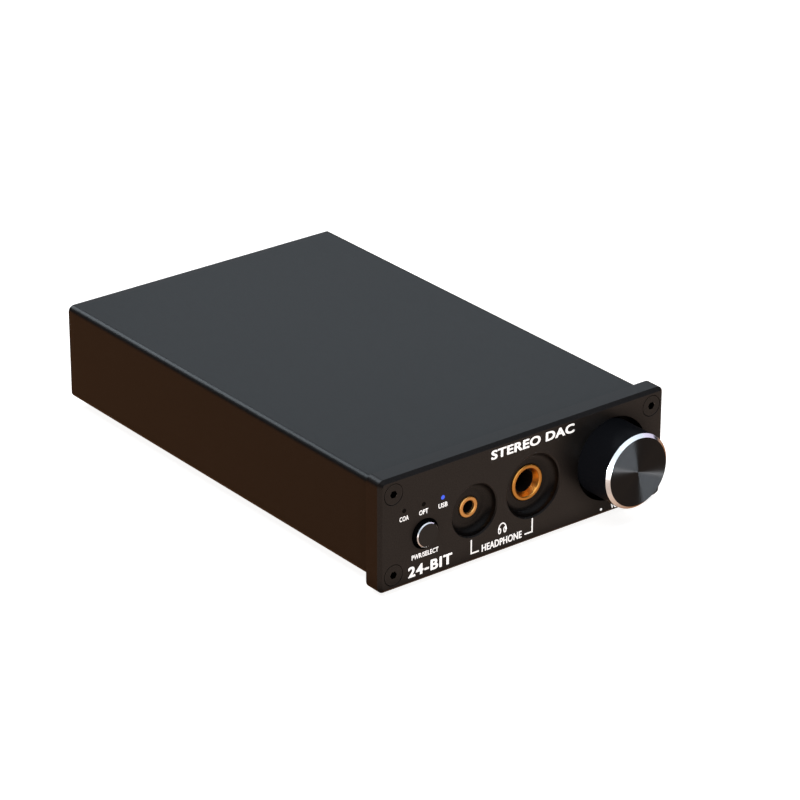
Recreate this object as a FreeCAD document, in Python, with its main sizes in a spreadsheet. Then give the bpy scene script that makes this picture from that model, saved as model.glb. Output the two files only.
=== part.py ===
# Desktop DAC and headphone amplifier: an extruded aluminium sleeve between two screwed panels,
# with a circuit board in its slots.  The front carries two headphone sockets, a select button, three
# indicators and the volume knob; the rear carries power, USB, optical, coaxial and two line outputs.
#
# Millimetres.  +X is to the right seen from the front, +Y runs from the front to the rear and +Z is up.
# The origin is at desk height under the middle of the whole object, knob and rear connectors included.
import FreeCAD, Part
import os
import re

import Sketcher

Vector = FreeCAD.Vector
TINY = 1e-4

# ---------------------------------------------------------------------------------------------------
# Driving dimensions: name, millimetres, meaning
# ---------------------------------------------------------------------------------------------------
DIMENSIONS = [
    ("body_length", 146.9, "front face of the front panel to the rear face of the rear panel"),
    ("knob_reach", 10.7, "knob front, ahead of the front panel"),
    ("rca_reach", 8.0, "round rear sockets, behind the rear panel"),
    ("foot_height", 3.0, "desk to the underside of the sleeve"),
    ("foot_radius", 4.5, "rubber foot"),
    ("foot_edge", 0.6, "chamfer round the bottom of a foot"),
    ("foot_across", 74.0, "left foot to right foot"),
    ("foot_inset", 24.0, "foot axis from the panel next to it"),
    # front panel
    ("panel_width", 97.0, "front panel"),
    ("panel_height", 32.5, "front panel"),
    ("panel_thickness", 5.7, "front panel"),
    ("panel_corner", 2.0, "corner radius of the front panel"),
    ("panel_chamfer", 1.0, "chamfer round the front face"),
    ("recess_depth", 2.9, "dished recess round a headphone socket"),
    ("recess_fillet", 2.5, "radius between wall and floor of a dished recess"),
    ("recess_rim", 0.35, "broken edge of a recess"),
    ("hole_rim", 0.2, "broken edge of a plain hole"),
    # sleeve, rear panel and their screws
    ("overrun", 1.0, "how far a feature or cut runs past the face it meets"),
    ("sleeve_width", 93.1, "extruded sleeve"),
    ("sleeve_height", 28.5, "extruded sleeve"),
    ("sleeve_wall", 1.5, "extruded sleeve"),
    ("sleeve_corner", 1.8, "outer edge radius of the sleeve"),
    ("boss_radius", 2.5, "screw channel in each corner of the sleeve"),
    ("screw_across", 87.8, "left screw to right screw"),
    ("screw_rise", 23.3, "lower screw to upper screw"),
    ("rear_thickness", 2.0, "rear panel"),
    ("rail_reach", 2.0, "board rail, out from the sleeve wall"),
    ("rail_thickness", 1.2, "board rail"),
    ("slot_play", 0.05, "board rail to board face"),
    # M3 screws with a hexagon socket
    ("thread_radius", 1.45, "M3 thread, drawn plain"),
    ("tapped_radius", 1.5, "tapped channel for M3"),
    ("clear_radius", 1.7, "clearance hole for M3"),
    ("sink_depth", 1.4, "countersink in the front panel"),
    ("rear_sink_depth", 0.8, "countersink in the rear panel"),
    ("head_radius", 2.85, "countersunk head, front screws"),
    ("rear_head_radius", 2.35, "small countersunk head, rear screws"),
    ("head_top", 0.05, "head below the panel face"),
    ("head_land", 0.13, "depth where the cone of a head starts"),
    ("socket_across", 2.0, "hexagon socket across flats"),
    ("socket_depth", 1.3, "hexagon socket"),
    ("front_screw_length", 12.0, "front panel screw"),
    ("rear_screw_length", 8.0, "rear panel screw"),
    # circuit board
    ("axis_above_board", 6.65, "board face up to the middle of the panels"),
    ("board_thickness", 1.6, "circuit board"),
    ("board_play", 0.2, "board edge to sleeve wall or rear panel"),
    ("board_front_gap", 2.0, "board edge to front panel, clear of the pressed button"),
    ("pin_radius", 0.4, "round solder pin"),
    ("pin_reach", 3.0, "solder pin, below the board face"),
    ("drill_radius", 0.7, "plated hole for a solder pin"),
    # small headphone socket, 3.5 mm
    ("small_x", -17.05, "small headphone socket"),
    ("small_z", -1.15, "small headphone socket, from the middle of the panel"),
    ("small_recess", 7.4, "radius of its recess"),
    ("small_ring", 3.08, "outer radius of its gold bushing"),
    ("small_bore", 1.8, "bore for a 3.5 mm plug"),
    ("small_width", 11.0, "its housing"),
    ("small_length", 12.5, "its housing"),
    ("small_top", 4.7, "its housing, above its axis"),
    # large headphone socket, 6.35 mm
    ("large_x", 2.9, "large headphone socket"),
    ("large_recess", 9.0, "radius of its recess"),
    ("large_ring", 5.25, "outer radius of its gold bushing"),
    ("large_ring_mouth", 4.15, "inner radius of its gold bushing, at the front"),
    ("large_ring_throat", 3.3, "inner radius of its gold bushing, where the cone ends"),
    ("large_ring_bore", 3.85, "inner radius of its gold bushing, round the plastic nose"),
    ("large_nose", 3.8, "outer radius of the plastic nose"),
    ("large_bore", 3.2, "bore for a 6.35 mm plug"),
    ("large_width", 15.6, "its housing"),
    ("large_length", 29.0, "its housing"),
    ("nose_start", 4.3, "front of the plastic nose, behind the panel face"),
    ("ring_face", 2.45, "front of a gold bushing, behind the panel face"),
    ("ring_lip", 0.45, "rounded lip of the large bushing"),
    ("small_lip", 0.4, "rounded lip of the small bushing"),
    ("ring_insert", 2.0, "bushing seated in its housing"),
    ("ring_play", 0.05, "bushing to panel hole and to housing"),
    ("jack_front_wall", 4.0, "front wall of a socket housing"),
    ("jack_wall", 1.2, "other walls of a socket housing"),
    ("leaf_thickness", 0.4, "spring contact"),
    ("leaf_height", 3.0, "spring contact"),
    ("leaf_tab", 3.0, "flat foot of a spring contact"),
    ("leaf_tip", 1.5, "turned-out end of a spring contact"),
    ("small_leaf", 6.0, "length of a spring contact in the small socket"),
    ("large_leaf", 9.3, "length of a spring contact in the large socket"),
    ("large_second_leaf", 16.0, "second right-hand contact, behind the front panel"),
    ("large_left_leaf", 21.8, "left-hand contact, behind the front panel"),
    ("leaf_gap", 0.2, "spring contact to the bore it serves"),
    # indicators
    ("led_x", -34.1, "middle indicator"),
    ("led_z", 5.95, "indicators, from the middle of the panel"),
    ("led_pitch", 6.4, "indicator to indicator"),
    ("led_hole", 0.65, "radius of an indicator hole"),
    ("led_shelf", 2.7, "depth of the narrow part of an indicator hole"),
    ("led_pocket", 1.75, "radius of the wide part of an indicator hole"),
    ("guide_radius", 0.6, "light guide"),
    ("guide_inset", 0.05, "light guide below the panel face"),
    ("guide_flange", 1.5, "radius of the light guide's flange"),
    ("guide_flange_depth", 0.5, "light guide's flange"),
    ("led_radius", 1.5, "3 mm LED"),
    ("led_tip", 3.3, "tip of an LED, behind the panel face"),
    ("led_length", 4.0, "tip of an LED to its collar"),
    ("led_dome", 1.35, "rounding of an LED's tip"),
    ("led_collar", 1.9, "radius of an LED's collar"),
    ("led_collar_depth", 1.0, "an LED's collar"),
    ("lead_side", 0.5, "square LED lead"),
    ("lead_pitch", 2.54, "lead to lead"),
    ("lead_back", 13.0, "upright part of a lead, behind the panel face"),
    ("holder_width", 17.6, "LED holder"),
    ("holder_depth", 3.6, "LED holder"),
    ("holder_height", 5.0, "bar of the LED holder"),
    ("holder_leg", 2.0, "legs of the LED holder"),
    # select button and its switch
    ("button_x", -33.55, "select button"),
    ("button_z", -2.65, "select button, from the middle of the panel"),
    ("button_hole", 4.15, "radius of its hole"),
    ("button_radius", 3.5, "button cap"),
    ("button_reach", 1.3, "button cap, ahead of the panel"),
    ("button_edge", 0.25, "chamfer round the cap"),
    ("button_flange", 4.8, "radius of the flange that keeps the cap in"),
    ("button_flange_gap", 0.15, "flange behind the panel"),
    ("button_flange_depth", 1.0, "the flange"),
    ("button_stem", 1.8, "radius of the stem"),
    ("button_travel", 0.5, "full press"),
    ("plunger_front", 8.2, "switch plunger, behind the panel face"),
    ("plunger_radius", 1.7, "switch plunger"),
    ("plunger_length", 2.1, "switch plunger"),
    ("switch_front", 8.7, "switch housing, behind the panel face"),
    ("switch_width", 6.2, "switch housing"),
    ("switch_depth", 3.6, "switch housing"),
    ("switch_top", 3.1, "switch housing, above the button's axis"),
    ("switch_end_play", 0.3, "left behind the plunger at full press"),
    ("switch_pins_across", 4.5, "switch pins, left to right"),
    ("switch_pins_along", 1.8, "switch pins, front to back"),
    # volume control
    ("knob_x", 30.3, "volume knob"),
    ("knob_radius", 10.75, "volume knob"),
    ("knob_chamfer", 0.9, "polished chamfer round its face"),
    ("knob_pocket", 11.95, "radius of the pocket it turns in"),
    ("knob_pocket_depth", 3.0, "the pocket"),
    ("knob_back", 2.1, "rear of the knob, behind the panel face"),
    ("knob_hollow", 7.0, "radius of the hollow that clears the nut"),
    ("knob_hollow_end", 1.5, "front of that hollow, ahead of the panel face"),
    ("knob_bore", 3.02, "bore for the shaft"),
    ("knob_bore_end", 8.5, "end of the bore, ahead of the panel face"),
    ("shaft_radius", 3.0, "potentiometer shaft"),
    ("shaft_end", 8.0, "end of the shaft, ahead of the panel face"),
    ("shaft_flat", 1.5, "flat on the shaft, from its axis"),
    ("shaft_flat_length", 7.0, "length of the flat"),
    ("shaft_play", 0.05, "shaft in the potentiometer bushing"),
    ("pot_width", 11.0, "potentiometer"),
    ("pot_depth", 9.0, "potentiometer"),
    ("pot_top", 5.4, "potentiometer, above the shaft axis"),
    ("pot_bushing", 3.5, "radius of its M7 bushing"),
    ("pot_bushing_reach", 0.5, "bushing, ahead of the panel face"),
    ("pot_pins_y", 7.2, "its pins, behind the front panel"),
    ("rotor_radius", 4.3, "rotor on the shaft"),
    ("rotor_front", 8.8, "rotor, behind the panel face"),
    ("rotor_depth", 2.8, "rotor"),
    ("rotor_play", 0.1, "round the rotor"),
    ("nut_across", 10.0, "M7 nut across flats"),
    ("nut_thickness", 2.0, "M7 nut"),
    ("nut_play", 0.02, "nut bore to bushing"),
    ("washer_radius", 5.5, "washer under the nut"),
    ("washer_thickness", 0.5, "washer under the nut"),
    ("grub_y", 5.0, "grub screw, ahead of the panel face"),
    ("grub_radius", 1.48, "M3 grub screw"),
    ("grub_length", 5.0, "grub screw"),
    ("grub_socket", 1.5, "its hexagon socket across flats"),
    ("grub_socket_depth", 2.0, "its hexagon socket"),
    # rear connectors: positions across the rear panel, and sizes
    ("cutout_play", 0.15, "connector to its cut-out in the rear panel"),
    ("dc_x", -37.0, "DC power socket"),
    ("dc_width", 9.0, "its housing"),
    ("dc_height", 11.0, "its housing"),
    ("dc_rise", 6.6, "its axis, above the board"),
    ("dc_length", 14.0, "its housing"),
    ("dc_nose", 4.0, "radius of its nose"),
    ("dc_proud", 0.3, "nose behind the rear panel"),
    ("dc_bore", 3.0, "radius of its bore"),
    ("dc_bore_depth", 9.5, "its bore"),
    ("dc_pin", 1.05, "radius of its centre pin"),
    ("dc_pin_inset", 1.0, "tip of the pin inside the bore"),
    ("dc_pin_edge", 0.3, "chamfer round the tip of the pin"),
    ("dc_tail", 0.8, "radius of the pin's tail in the housing"),
    ("dc_back_tab", 11.9, "solder tab of the centre pin, in front of the rear panel"),
    ("dc_sleeve_tab", 6.3, "solder tab of the sleeve contact, in front of the rear panel"),
    ("dc_switch_tab", 8.4, "solder tab of the switch contact, in front of the rear panel"),
    ("dc_switch_tab_x", 3.15, "solder tab of the switch contact, beside the axis"),
    ("usb_x", -23.0, "USB type B socket"),
    ("usb_width", 12.0, "its shell"),
    ("usb_height", 10.9, "its shell"),
    ("usb_length", 16.0, "its shell, inside the rear panel"),
    ("usb_proud", 0.6, "shell behind the rear panel"),
    ("usb_wall", 0.3, "its shell"),
    ("usb_mouth_width", 8.45, "opening of the insert"),
    ("usb_mouth_height", 7.8, "opening of the insert"),
    ("usb_mouth_corner", 1.5, "cut upper corners of the opening"),
    ("usb_mouth_depth", 9.0, "opening of the insert"),
    ("usb_tongue_width", 5.6, "tongue in the opening"),
    ("usb_tongue_height", 3.2, "tongue in the opening"),
    ("usb_tongue_inset", 1.0, "end of the tongue inside the mouth"),
    ("usb_contact_width", 1.2, "contact strip"),
    ("usb_contact_thickness", 0.2, "contact strip"),
    ("usb_contact_length", 6.5, "contact strip"),
    ("usb_contact_pitch", 2.5, "contact strip"),
    ("optical_x", -8.5, "optical socket"),
    ("optical_width", 9.7, "its housing"),
    ("optical_height", 10.0, "its housing"),
    ("optical_length", 13.5, "its housing, inside the rear panel"),
    ("optical_proud", 0.5, "housing behind the rear panel"),
    ("optical_mouth_width", 6.6, "plug opening"),
    ("optical_mouth_height", 6.4, "plug opening"),
    ("optical_lip", 0.8, "depth of the lip that the shutter hides behind"),
    ("optical_depth", 10.0, "depth of the opening"),
    ("shutter_room", 1.1, "room above the opening for the open shutter"),
    ("shutter_thickness", 0.7, "shutter"),
    ("shutter_gap", 0.2, "shutter to its sides and to the lip"),
    ("hinge_drop", 0.5, "shutter axis above the opening"),
    ("hinge_radius", 0.4, "shutter pivot"),
    ("hinge_play", 0.05, "pivot in its hole"),
    ("hinge_reach", 0.6, "pivot into the side wall"),
    ("detector_radius", 1.5, "light detector"),
    ("detector_depth", 1.0, "light detector"),
    ("coax_x", 5.5, "coaxial input"),
    ("left_x", 20.5, "line output, left channel"),
    ("right_x", 34.5, "line output, right channel"),
    ("rca_width", 10.0, "housing of a round socket"),
    ("rca_top", 6.0, "housing, above the axis"),
    ("rca_depth", 9.0, "housing"),
    ("rca_shell", 4.15, "outer radius of the shell"),
    ("rca_shell_bore", 3.45, "inner radius of the shell"),
    ("rca_base", 4.6, "radius of the shell's wider base"),
    ("rca_base_reach", 0.6, "base behind the rear panel"),
    ("rca_hole", 4.75, "radius of the hole in the rear panel"),
    ("rca_seat", 1.5, "shell seated in the housing"),
    ("rca_insulator", 3.4, "outer radius of the insulator"),
    ("rca_insulator_reach", 6.5, "insulator behind the rear panel"),
    ("rca_contact", 2.0, "outer radius of the centre contact"),
    ("rca_contact_bore", 1.65, "bore for a 3.2 mm plug pin"),
    ("rca_contact_reach", 6.2, "centre contact behind the rear panel"),
    ("rca_contact_floor", 1.0, "closed end of the centre contact"),
    ("rca_signal_pin", 7.2, "signal pin, in front of the rear panel"),
    ("rca_earth_pins", 3.6, "earth pins, in front of the rear panel"),
    ("rca_earth_pins_across", 6.6, "earth pin to earth pin"),
    ("rca_play", 0.02, "between nested parts"),
    # components on the board
    ("chip_height", 1.5, "surface-mount chip"),
    ("chip_lead", 1.0, "lead, out from the chip"),
    ("chip_lead_width", 0.3, "lead"),
    ("chip_lead_height", 0.6, "lead"),
    ("can_radius", 6.0, "large electrolytic capacitor"),
    ("can_height", 16.0, "large electrolytic capacitor"),
    ("can_groove", 0.4, "groove round a capacitor can"),
    ("can_groove_rise", 2.0, "groove above the board"),
    ("can_edge", 0.6, "rounded top of a can"),
    ("small_can_radius", 3.15, "small electrolytic capacitor"),
    ("small_can_height", 11.0, "small electrolytic capacitor"),
    ("film_width", 4.5, "film capacitor"),
    ("film_depth", 7.2, "film capacitor"),
    ("film_height", 9.0, "film capacitor"),
    ("box_edge", 0.4, "rounded edges of moulded boxes"),
    ("relay_width", 20.0, "output relay"),
    ("relay_depth", 10.0, "output relay"),
    ("relay_height", 10.5, "output relay"),
    ("crystal_width", 11.0, "crystal can"),
    ("crystal_depth", 4.6, "crystal can"),
    ("crystal_height", 3.6, "crystal can"),
    ("crystal_round", 2.0, "rounded ends of a crystal can"),
    ("coil_radius", 6.0, "flanges of a power inductor"),
    ("coil_waist", 4.6, "winding of a power inductor"),
    ("coil_height", 8.0, "power inductor"),
    ("coil_flange", 1.2, "flange of a power inductor"),
    ("opamp_width", 6.4, "op-amp package"),
    ("opamp_depth", 9.6, "op-amp package"),
    ("opamp_height", 3.4, "op-amp package"),
    ("opamp_socket_height", 4.0, "op-amp socket"),
    ("opamp_socket_width", 10.0, "op-amp socket"),
    ("regulator_width", 10.2, "TO-220 voltage regulator"),
    ("regulator_depth", 4.5, "TO-220 voltage regulator"),
    ("regulator_height", 9.2, "its moulding"),
    ("regulator_stand", 2.5, "its moulding, above the board"),
    ("regulator_legs", 1.5, "its legs, behind its front"),
    ("tab_thickness", 1.3, "its metal tab"),
    ("tab_height", 15.4, "its metal tab"),
    ("tab_hole", 1.85, "radius of the hole in its tab"),
    ("chip_resistor_width", 2.0, "chip resistor"),
    ("chip_resistor_depth", 1.25, "chip resistor"),
    ("chip_resistor_height", 0.55, "chip resistor"),
    ("chip_resistor_pitch", 3.2, "chip resistor"),
]
ALIASES = {name for name, value, meaning in DIMENSIONS}

# Board layout, millimetres: across the board from its middle, and back from the front panel
LAYOUT = {
    "headphone_amplifier_chip": [(-18, 32)],
    "dac_chip": [(-4, 76)],
    "digital_receiver_chip": [(-20, 92)],
    "usb_receiver_chip": [(-24, 108)],
    "supply_capacitors": [(-35, 46), (-35, 62), (-35, 78), (-35, 94)],
    "small_capacitors": [(8, 96), (17, 96), (26, 96), (35, 96), (8, 108), (17, 108), (26, 108), (35, 108)],
    "film_capacitors": [(12, 62), (20, 62), (28, 62), (36, 62)],
    "output_relay": [(0, 46)],
    "crystals": [(-6, 92), (-7, 108)],
    "power_inductors": [(-19, 58), (-19, 74)],
    "op_amps": [(22, 40), (36, 40)],
    "voltage_regulators": [(-36, 26), (-36, 34)],
    "chip_resistor_rows": [(-6, 60), (12, 74), (12, 84), (26, 84), (-24, 44)],
}
RESISTORS_IN_A_ROW = 4
# Flat packages: width, depth and leads a side
CHIPS = {
    "dac_chip": (6, 10, 14),
    "digital_receiver_chip": (5, 9, 14),
    "usb_receiver_chip": (7, 7, 12),
    "headphone_amplifier_chip": (7, 12, 10),
}
ROUND_SOCKETS = {"coax": "coaxial_socket", "left": "left_output", "right": "right_output"}

# Places that many parts share, as formulas of the driving dimensions
FRONT = "((knob_reach - body_length - rca_reach) / 2)"
REAR = "((knob_reach + body_length - rca_reach) / 2)"
PANEL_BACK = f"({FRONT} + panel_thickness)"
AXIS = "(foot_height + sleeve_height / 2)"
BOARD = f"({AXIS} - axis_above_board)"
SLEEVE_LENGTH = "(body_length - panel_thickness - rear_thickness)"
CORNERS = [(f"{side} * screw_across / 2", f"{level} * screw_rise / 2")
           for side in (-1, 1) for level in (-1, 1)]
DC_AXIS = "(dc_rise - axis_above_board)"
USB_MIDDLE = "(usb_height / 2 - axis_above_board)"
OPTICAL_MIDDLE = "(optical_height / 2 - axis_above_board)"
HINGE_Y = "(optical_proud - optical_lip - shutter_gap - shutter_thickness / 2)"
HINGE_Z = "(optical_mouth_height / 2 + hinge_drop)"

document = FreeCAD.newDocument("desktop_dac")
sheet = document.addObject("Spreadsheet::Sheet", "Dims")
for row, (alias, value, meaning) in enumerate(DIMENSIONS, start=1):
    sheet.set(f"A{row}", meaning)
    sheet.set(f"B{row}", str(value))
    sheet.setAlias(f"B{row}", alias)
document.recompute()

nodes = []
drilled = []


# ---------------------------------------------------------------------------------------------------
# Formulas and places
# ---------------------------------------------------------------------------------------------------
def formula(text):
    """The same formula with each driving dimension addressed in the sheet."""
    def addressed(word):
        return "Dims." + word.group() if word.group() in ALIASES else word.group()
    return re.sub(r"[a-z_0-9]+", addressed, str(text))


def amount(text):
    return float(sheet.evalExpression(formula(text)))


def bind(thing, property_name, text):
    thing.setExpression(property_name, formula(text))


def place(piece, x, y, z):
    for letter, text in zip("xyz", (x, y, z)):
        bind(piece, f"Placement.Base.{letter}", text)
    return piece


def node(piece, name):
    """Mark a finished piece for export under its own name."""
    piece.Label = name
    nodes.append(piece)
    return piece


def add(kind, name):
    return document.addObject(kind, name)


# ---------------------------------------------------------------------------------------------------
# Sketches.  A front sketch has X and Z, a top sketch X and Y, a side sketch Y and Z; the offset is
# measured along the remaining axis, and features grow or cut from there along that axis.
# ---------------------------------------------------------------------------------------------------
PLANES = {"front": "XZ_Plane", "top": "XY_Plane", "side": "YZ_Plane"}


def body(name):
    piece = add("PartDesign::Body", name)
    piece.Label = name + "_body"
    return piece


def sketch(piece, view, offset="0"):
    plane = next(f for f in piece.Origin.OriginFeatures if f.Role == PLANES[view])
    result = piece.newObject("Sketcher::SketchObject", f"{piece.Name}_{view}_sketch")
    result.AttachmentSupport = [(plane, "")]
    result.MapMode = "FlatFace"
    normal = "-1" if view == "front" else "1"
    bind(result, "AttachmentOffset.Base.z", f"{normal} * ({offset})")
    return result


def pin_down(drawing, points):
    """Fix points of a sketch at pairs of formulas; each is geometry, point on it, across, along."""
    wanted = []
    for geometry, point, across, along in points:
        wanted.append(("DistanceX", geometry, point, across))
        wanted.append(("DistanceY", geometry, point, along))
    added = drawing.addConstraint([Sketcher.Constraint(kind, geometry, point, amount(text))
                                   for kind, geometry, point, text in wanted])
    for index, (kind, geometry, point, text) in zip(added, wanted):
        bind(drawing, f"Constraints[{index}]", text)


def outline(drawing, corners):
    """A closed outline of straight lines through corners given as pairs of formulas."""
    points = [Vector(amount(across), amount(along), 0) for across, along in corners]
    first = drawing.GeometryCount
    steps = range(len(corners))
    following = [(step + 1) % len(corners) for step in steps]
    sides = [Part.LineSegment(points[step], points[following[step]]) for step in steps]
    drawing.addGeometry(sides, False)
    drawing.addConstraint([Sketcher.Constraint("Coincident", first + step, 2, first + following[step], 1)
                           for step in steps])
    pin_down(drawing, [(first + step, 1, across, along) for step, (across, along) in enumerate(corners)])
    return drawing


def rectangle(drawing, across, along, width, height):
    """A rectangle round a middle point."""
    low_x, high_x = f"{across} - ({width}) / 2", f"{across} + ({width}) / 2"
    low_y, high_y = f"{along} - ({height}) / 2", f"{along} + ({height}) / 2"
    return outline(drawing, [(low_x, low_y), (high_x, low_y), (high_x, high_y), (low_x, high_y)])


def circle(drawing, across, along, radius):
    centre = Vector(amount(across), amount(along), 0)
    index = drawing.addGeometry(Part.Circle(centre, Vector(0, 0, 1), amount(radius)), False)
    fixed = drawing.addConstraint(Sketcher.Constraint("Radius", index, amount(radius)))
    bind(drawing, f"Constraints[{fixed}]", radius)
    pin_down(drawing, [(index, 3, across, along)])
    return drawing


def hexagon(drawing, across_flats):
    reach = f"{across_flats} / sqrt(3)"
    turns = [f"{60 * step} deg" for step in range(6)]
    return outline(drawing, [(f"{reach} * cos({turn})", f"{reach} * sin({turn})") for turn in turns])


# ---------------------------------------------------------------------------------------------------
# Features
# ---------------------------------------------------------------------------------------------------
def grow(piece, drawing, length):
    """Pad a sketch along its axis."""
    feature = piece.newObject("PartDesign::Pad", f"{piece.Name}_pad")
    feature.Profile = drawing
    feature.Reversed = "front" in drawing.Name
    bind(feature, "Length", length)
    return feature


def cut(piece, drawing, length, backwards=False):
    """Pocket a sketch along its axis, and make sure that it removes material."""
    piece.recompute(True)
    before = piece.Shape.Volume
    feature = piece.newObject("PartDesign::Pocket", f"{piece.Name}_pocket")
    feature.Profile = drawing
    feature.Reversed = ("front" not in drawing.Name) != backwards
    bind(feature, "Length", length)
    piece.recompute(True)
    if piece.Shape.Volume > before - TINY:
        raise RuntimeError(f"a pocket of {piece.Name} removes nothing")
    return feature


def revolve(piece, drawing, kind="PartDesign::Revolution"):
    feature = piece.newObject(kind, f"{piece.Name}_turning")
    feature.Profile = drawing
    feature.ReferenceAxis = (drawing, ["V_Axis"])
    feature.Angle = 360
    return feature


def turned(name, view, corners):
    """A turned piece: radius and distance along the axis, which is Y in a top view and Z in a front view."""
    piece = body(name)
    revolve(piece, outline(sketch(piece, view), corners))
    return piece


def dress(piece, kind, size, chosen):
    """Fillet or chamfer the edges that the test picks."""
    piece.recompute(True)
    base = piece.Tip
    names = [f"Edge{index}" for index, edge in enumerate(base.Shape.Edges, start=1) if chosen(edge)]
    if not names:
        raise RuntimeError(f"no edge of {piece.Name} to dress")
    feature = piece.newObject(f"PartDesign::{kind}", f"{piece.Name}_{kind.lower()}")
    feature.Base = (base, names)
    bind(feature, "Radius" if kind == "Fillet" else "Size", size)
    return feature


def near(one, other):
    return abs(one - other) < TINY


def ring_at(radius, depth):
    """Full circles about Y, of one radius at one depth; rounded corners of that radius are left out."""
    size, level = amount(radius), amount(depth)

    def chosen(edge):
        full_circle = isinstance(edge.Curve, Part.Circle) and edge.isClosed()
        right_size = full_circle and near(edge.Curve.Radius, size)
        return right_size and near(edge.BoundBox.YMin, level) and near(edge.BoundBox.YMax, level)
    return chosen


def lengthwise(edge):
    """Straight edges that run along Y."""
    return near(edge.BoundBox.XLength, 0) and near(edge.BoundBox.ZLength, 0)


def at_depth(depth):
    """Edges that lie wholly at one depth."""
    level = amount(depth)
    return lambda edge: near(edge.BoundBox.YMin, level) and near(edge.BoundBox.YMax, level)


def upright(height):
    """Straight edges as tall as a piece."""
    rise = amount(height)
    return lambda edge: near(edge.BoundBox.ZLength, rise)


def block(name, width, depth, height, x="0", y="0", z="0"):
    """A box by the middle of its width, its front and its underside."""
    piece = add("Part::Box", name)
    bind(piece, "Length", width)
    bind(piece, "Width", depth)
    bind(piece, "Height", height)
    return place(piece, f"({x}) - ({width}) / 2", y, z)


AXES = {"x": (Vector(0, 1, 0), 90), "y": (Vector(1, 0, 0), -90), "z": (Vector(0, 0, 1), 0)}


def rod(name, radius, length, along, x="0", y="0", z="0"):
    """A cylinder that starts at a point and runs along one axis."""
    piece = add("Part::Cylinder", name)
    piece.Placement = FreeCAD.Placement(Vector(), FreeCAD.Rotation(*AXES[along]))
    bind(piece, "Radius", radius)
    bind(piece, "Height", length)
    return place(piece, x, y, z)


def fused(name, pieces):
    piece = add("Part::MultiFuse", name)
    piece.Shapes = pieces
    return piece


def minus(name, base, tools):
    piece = add("Part::Cut", name)
    piece.Base = base
    piece.Tool = tools[0] if len(tools) == 1 else fused(name + "_tools", tools)
    return piece


def group(name, pieces):
    """Separate solids that share a node."""
    piece = add("Part::Compound", name)
    piece.Links = pieces
    return piece


def copies(name, seed, places, turn=0):
    """The seed again at each place, turned about the vertical."""
    links = []
    for x, y, z in places:
        link = add("App::Link", name + "_copy")
        link.LinkedObject = seed
        link.Placement = FreeCAD.Placement(Vector(), FreeCAD.Rotation(Vector(0, 0, 1), turn))
        links.append(place(link, x, y, z))
    return links


def solder_pins(name, places):
    """Round pins from the board face down through plated holes; places are x and y formulas."""
    pins = []
    for x, y in places:
        pins.append(rod(name + "_pin", "pin_radius", "pin_reach", "z", x, y, f"{BOARD} - pin_reach"))
        drilled.append((x, y))
    return pins


# ---------------------------------------------------------------------------------------------------
# Housing
# ---------------------------------------------------------------------------------------------------
def front_panel():
    piece = body("front_panel")
    grow(piece, rectangle(sketch(piece, "front"), "0", "0", "panel_width", "panel_height"), "panel_thickness")
    dress(piece, "Fillet", "panel_corner", lengthwise)
    dress(piece, "Chamfer", "panel_chamfer", at_depth("0"))
    dished = [("small_x", "small_z", "small_recess"), ("large_x", "0", "large_recess")]
    for x, z, radius in dished:
        cut(piece, circle(sketch(piece, "front"), x, z, radius), "recess_depth")
        dress(piece, "Fillet", "recess_fillet", ring_at(radius, "recess_depth"))
        dress(piece, "Chamfer", "recess_rim", ring_at(radius, "0"))
    cut(piece, circle(sketch(piece, "front"), "knob_x", "0", "knob_pocket"), "knob_pocket_depth")
    dress(piece, "Chamfer", "hole_rim", ring_at("knob_pocket", "0"))
    bushings = sketch(piece, "front")
    circle(bushings, "small_x", "small_z", "small_ring + ring_play")
    circle(bushings, "large_x", "0", "large_ring + ring_play")
    circle(bushings, "knob_x", "0", "pot_bushing + ring_play")
    cut(piece, bushings, "panel_thickness")
    cut(piece, circle(sketch(piece, "front"), "button_x", "button_z", "button_hole"), "panel_thickness")
    dress(piece, "Chamfer", "hole_rim", ring_at("button_hole", "0"))
    narrow = sketch(piece, "front")
    wide = sketch(piece, "front", "led_shelf")
    for step in (-1, 0, 1):
        circle(narrow, f"led_x + {step} * led_pitch", "led_z", "led_hole")
        circle(wide, f"led_x + {step} * led_pitch", "led_z", "led_pocket")
    cut(piece, narrow, "panel_thickness")
    cut(piece, wide, "panel_thickness - led_shelf")
    screws = sketch(piece, "front")
    for x, z in CORNERS:
        circle(screws, x, z, "clear_radius")
    cut(piece, screws, "panel_thickness")
    dress(piece, "Chamfer", "sink_depth", ring_at("clear_radius", "0"))
    node(place(piece, "0", FRONT, AXIS), "front_panel")


def housing_sleeve():
    piece = body("housing_sleeve")
    inner_width = "sleeve_width - 2 * sleeve_wall"
    inner_height = "sleeve_height - 2 * sleeve_wall"
    grow(piece, rectangle(sketch(piece, "front"), "0", "0", "sleeve_width", "sleeve_height"), SLEEVE_LENGTH)
    dress(piece, "Fillet", "sleeve_corner", lengthwise)
    cut(piece, rectangle(sketch(piece, "front"), "0", "0", inner_width, inner_height), SLEEVE_LENGTH)
    bosses = sketch(piece, "front")
    holes = sketch(piece, "front")
    for x, z in CORNERS:
        circle(bosses, x, z, "boss_radius")
        circle(holes, x, z, "tapped_radius")
    grow(piece, bosses, SLEEVE_LENGTH)
    rails = sketch(piece, "front")
    upper = "-axis_above_board + slot_play + rail_thickness / 2"
    lower = "-axis_above_board - board_thickness - slot_play - rail_thickness / 2"
    for side in ("-1", "1"):
        for level in (upper, lower):
            middle = f"{side} * (sleeve_width / 2 - (sleeve_wall + rail_reach) / 2)"
            rectangle(rails, middle, level, "sleeve_wall + rail_reach", "rail_thickness")
    grow(piece, rails, SLEEVE_LENGTH)
    cut(piece, holes, SLEEVE_LENGTH)
    node(place(piece, "0", PANEL_BACK, AXIS), "housing_sleeve")


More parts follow.
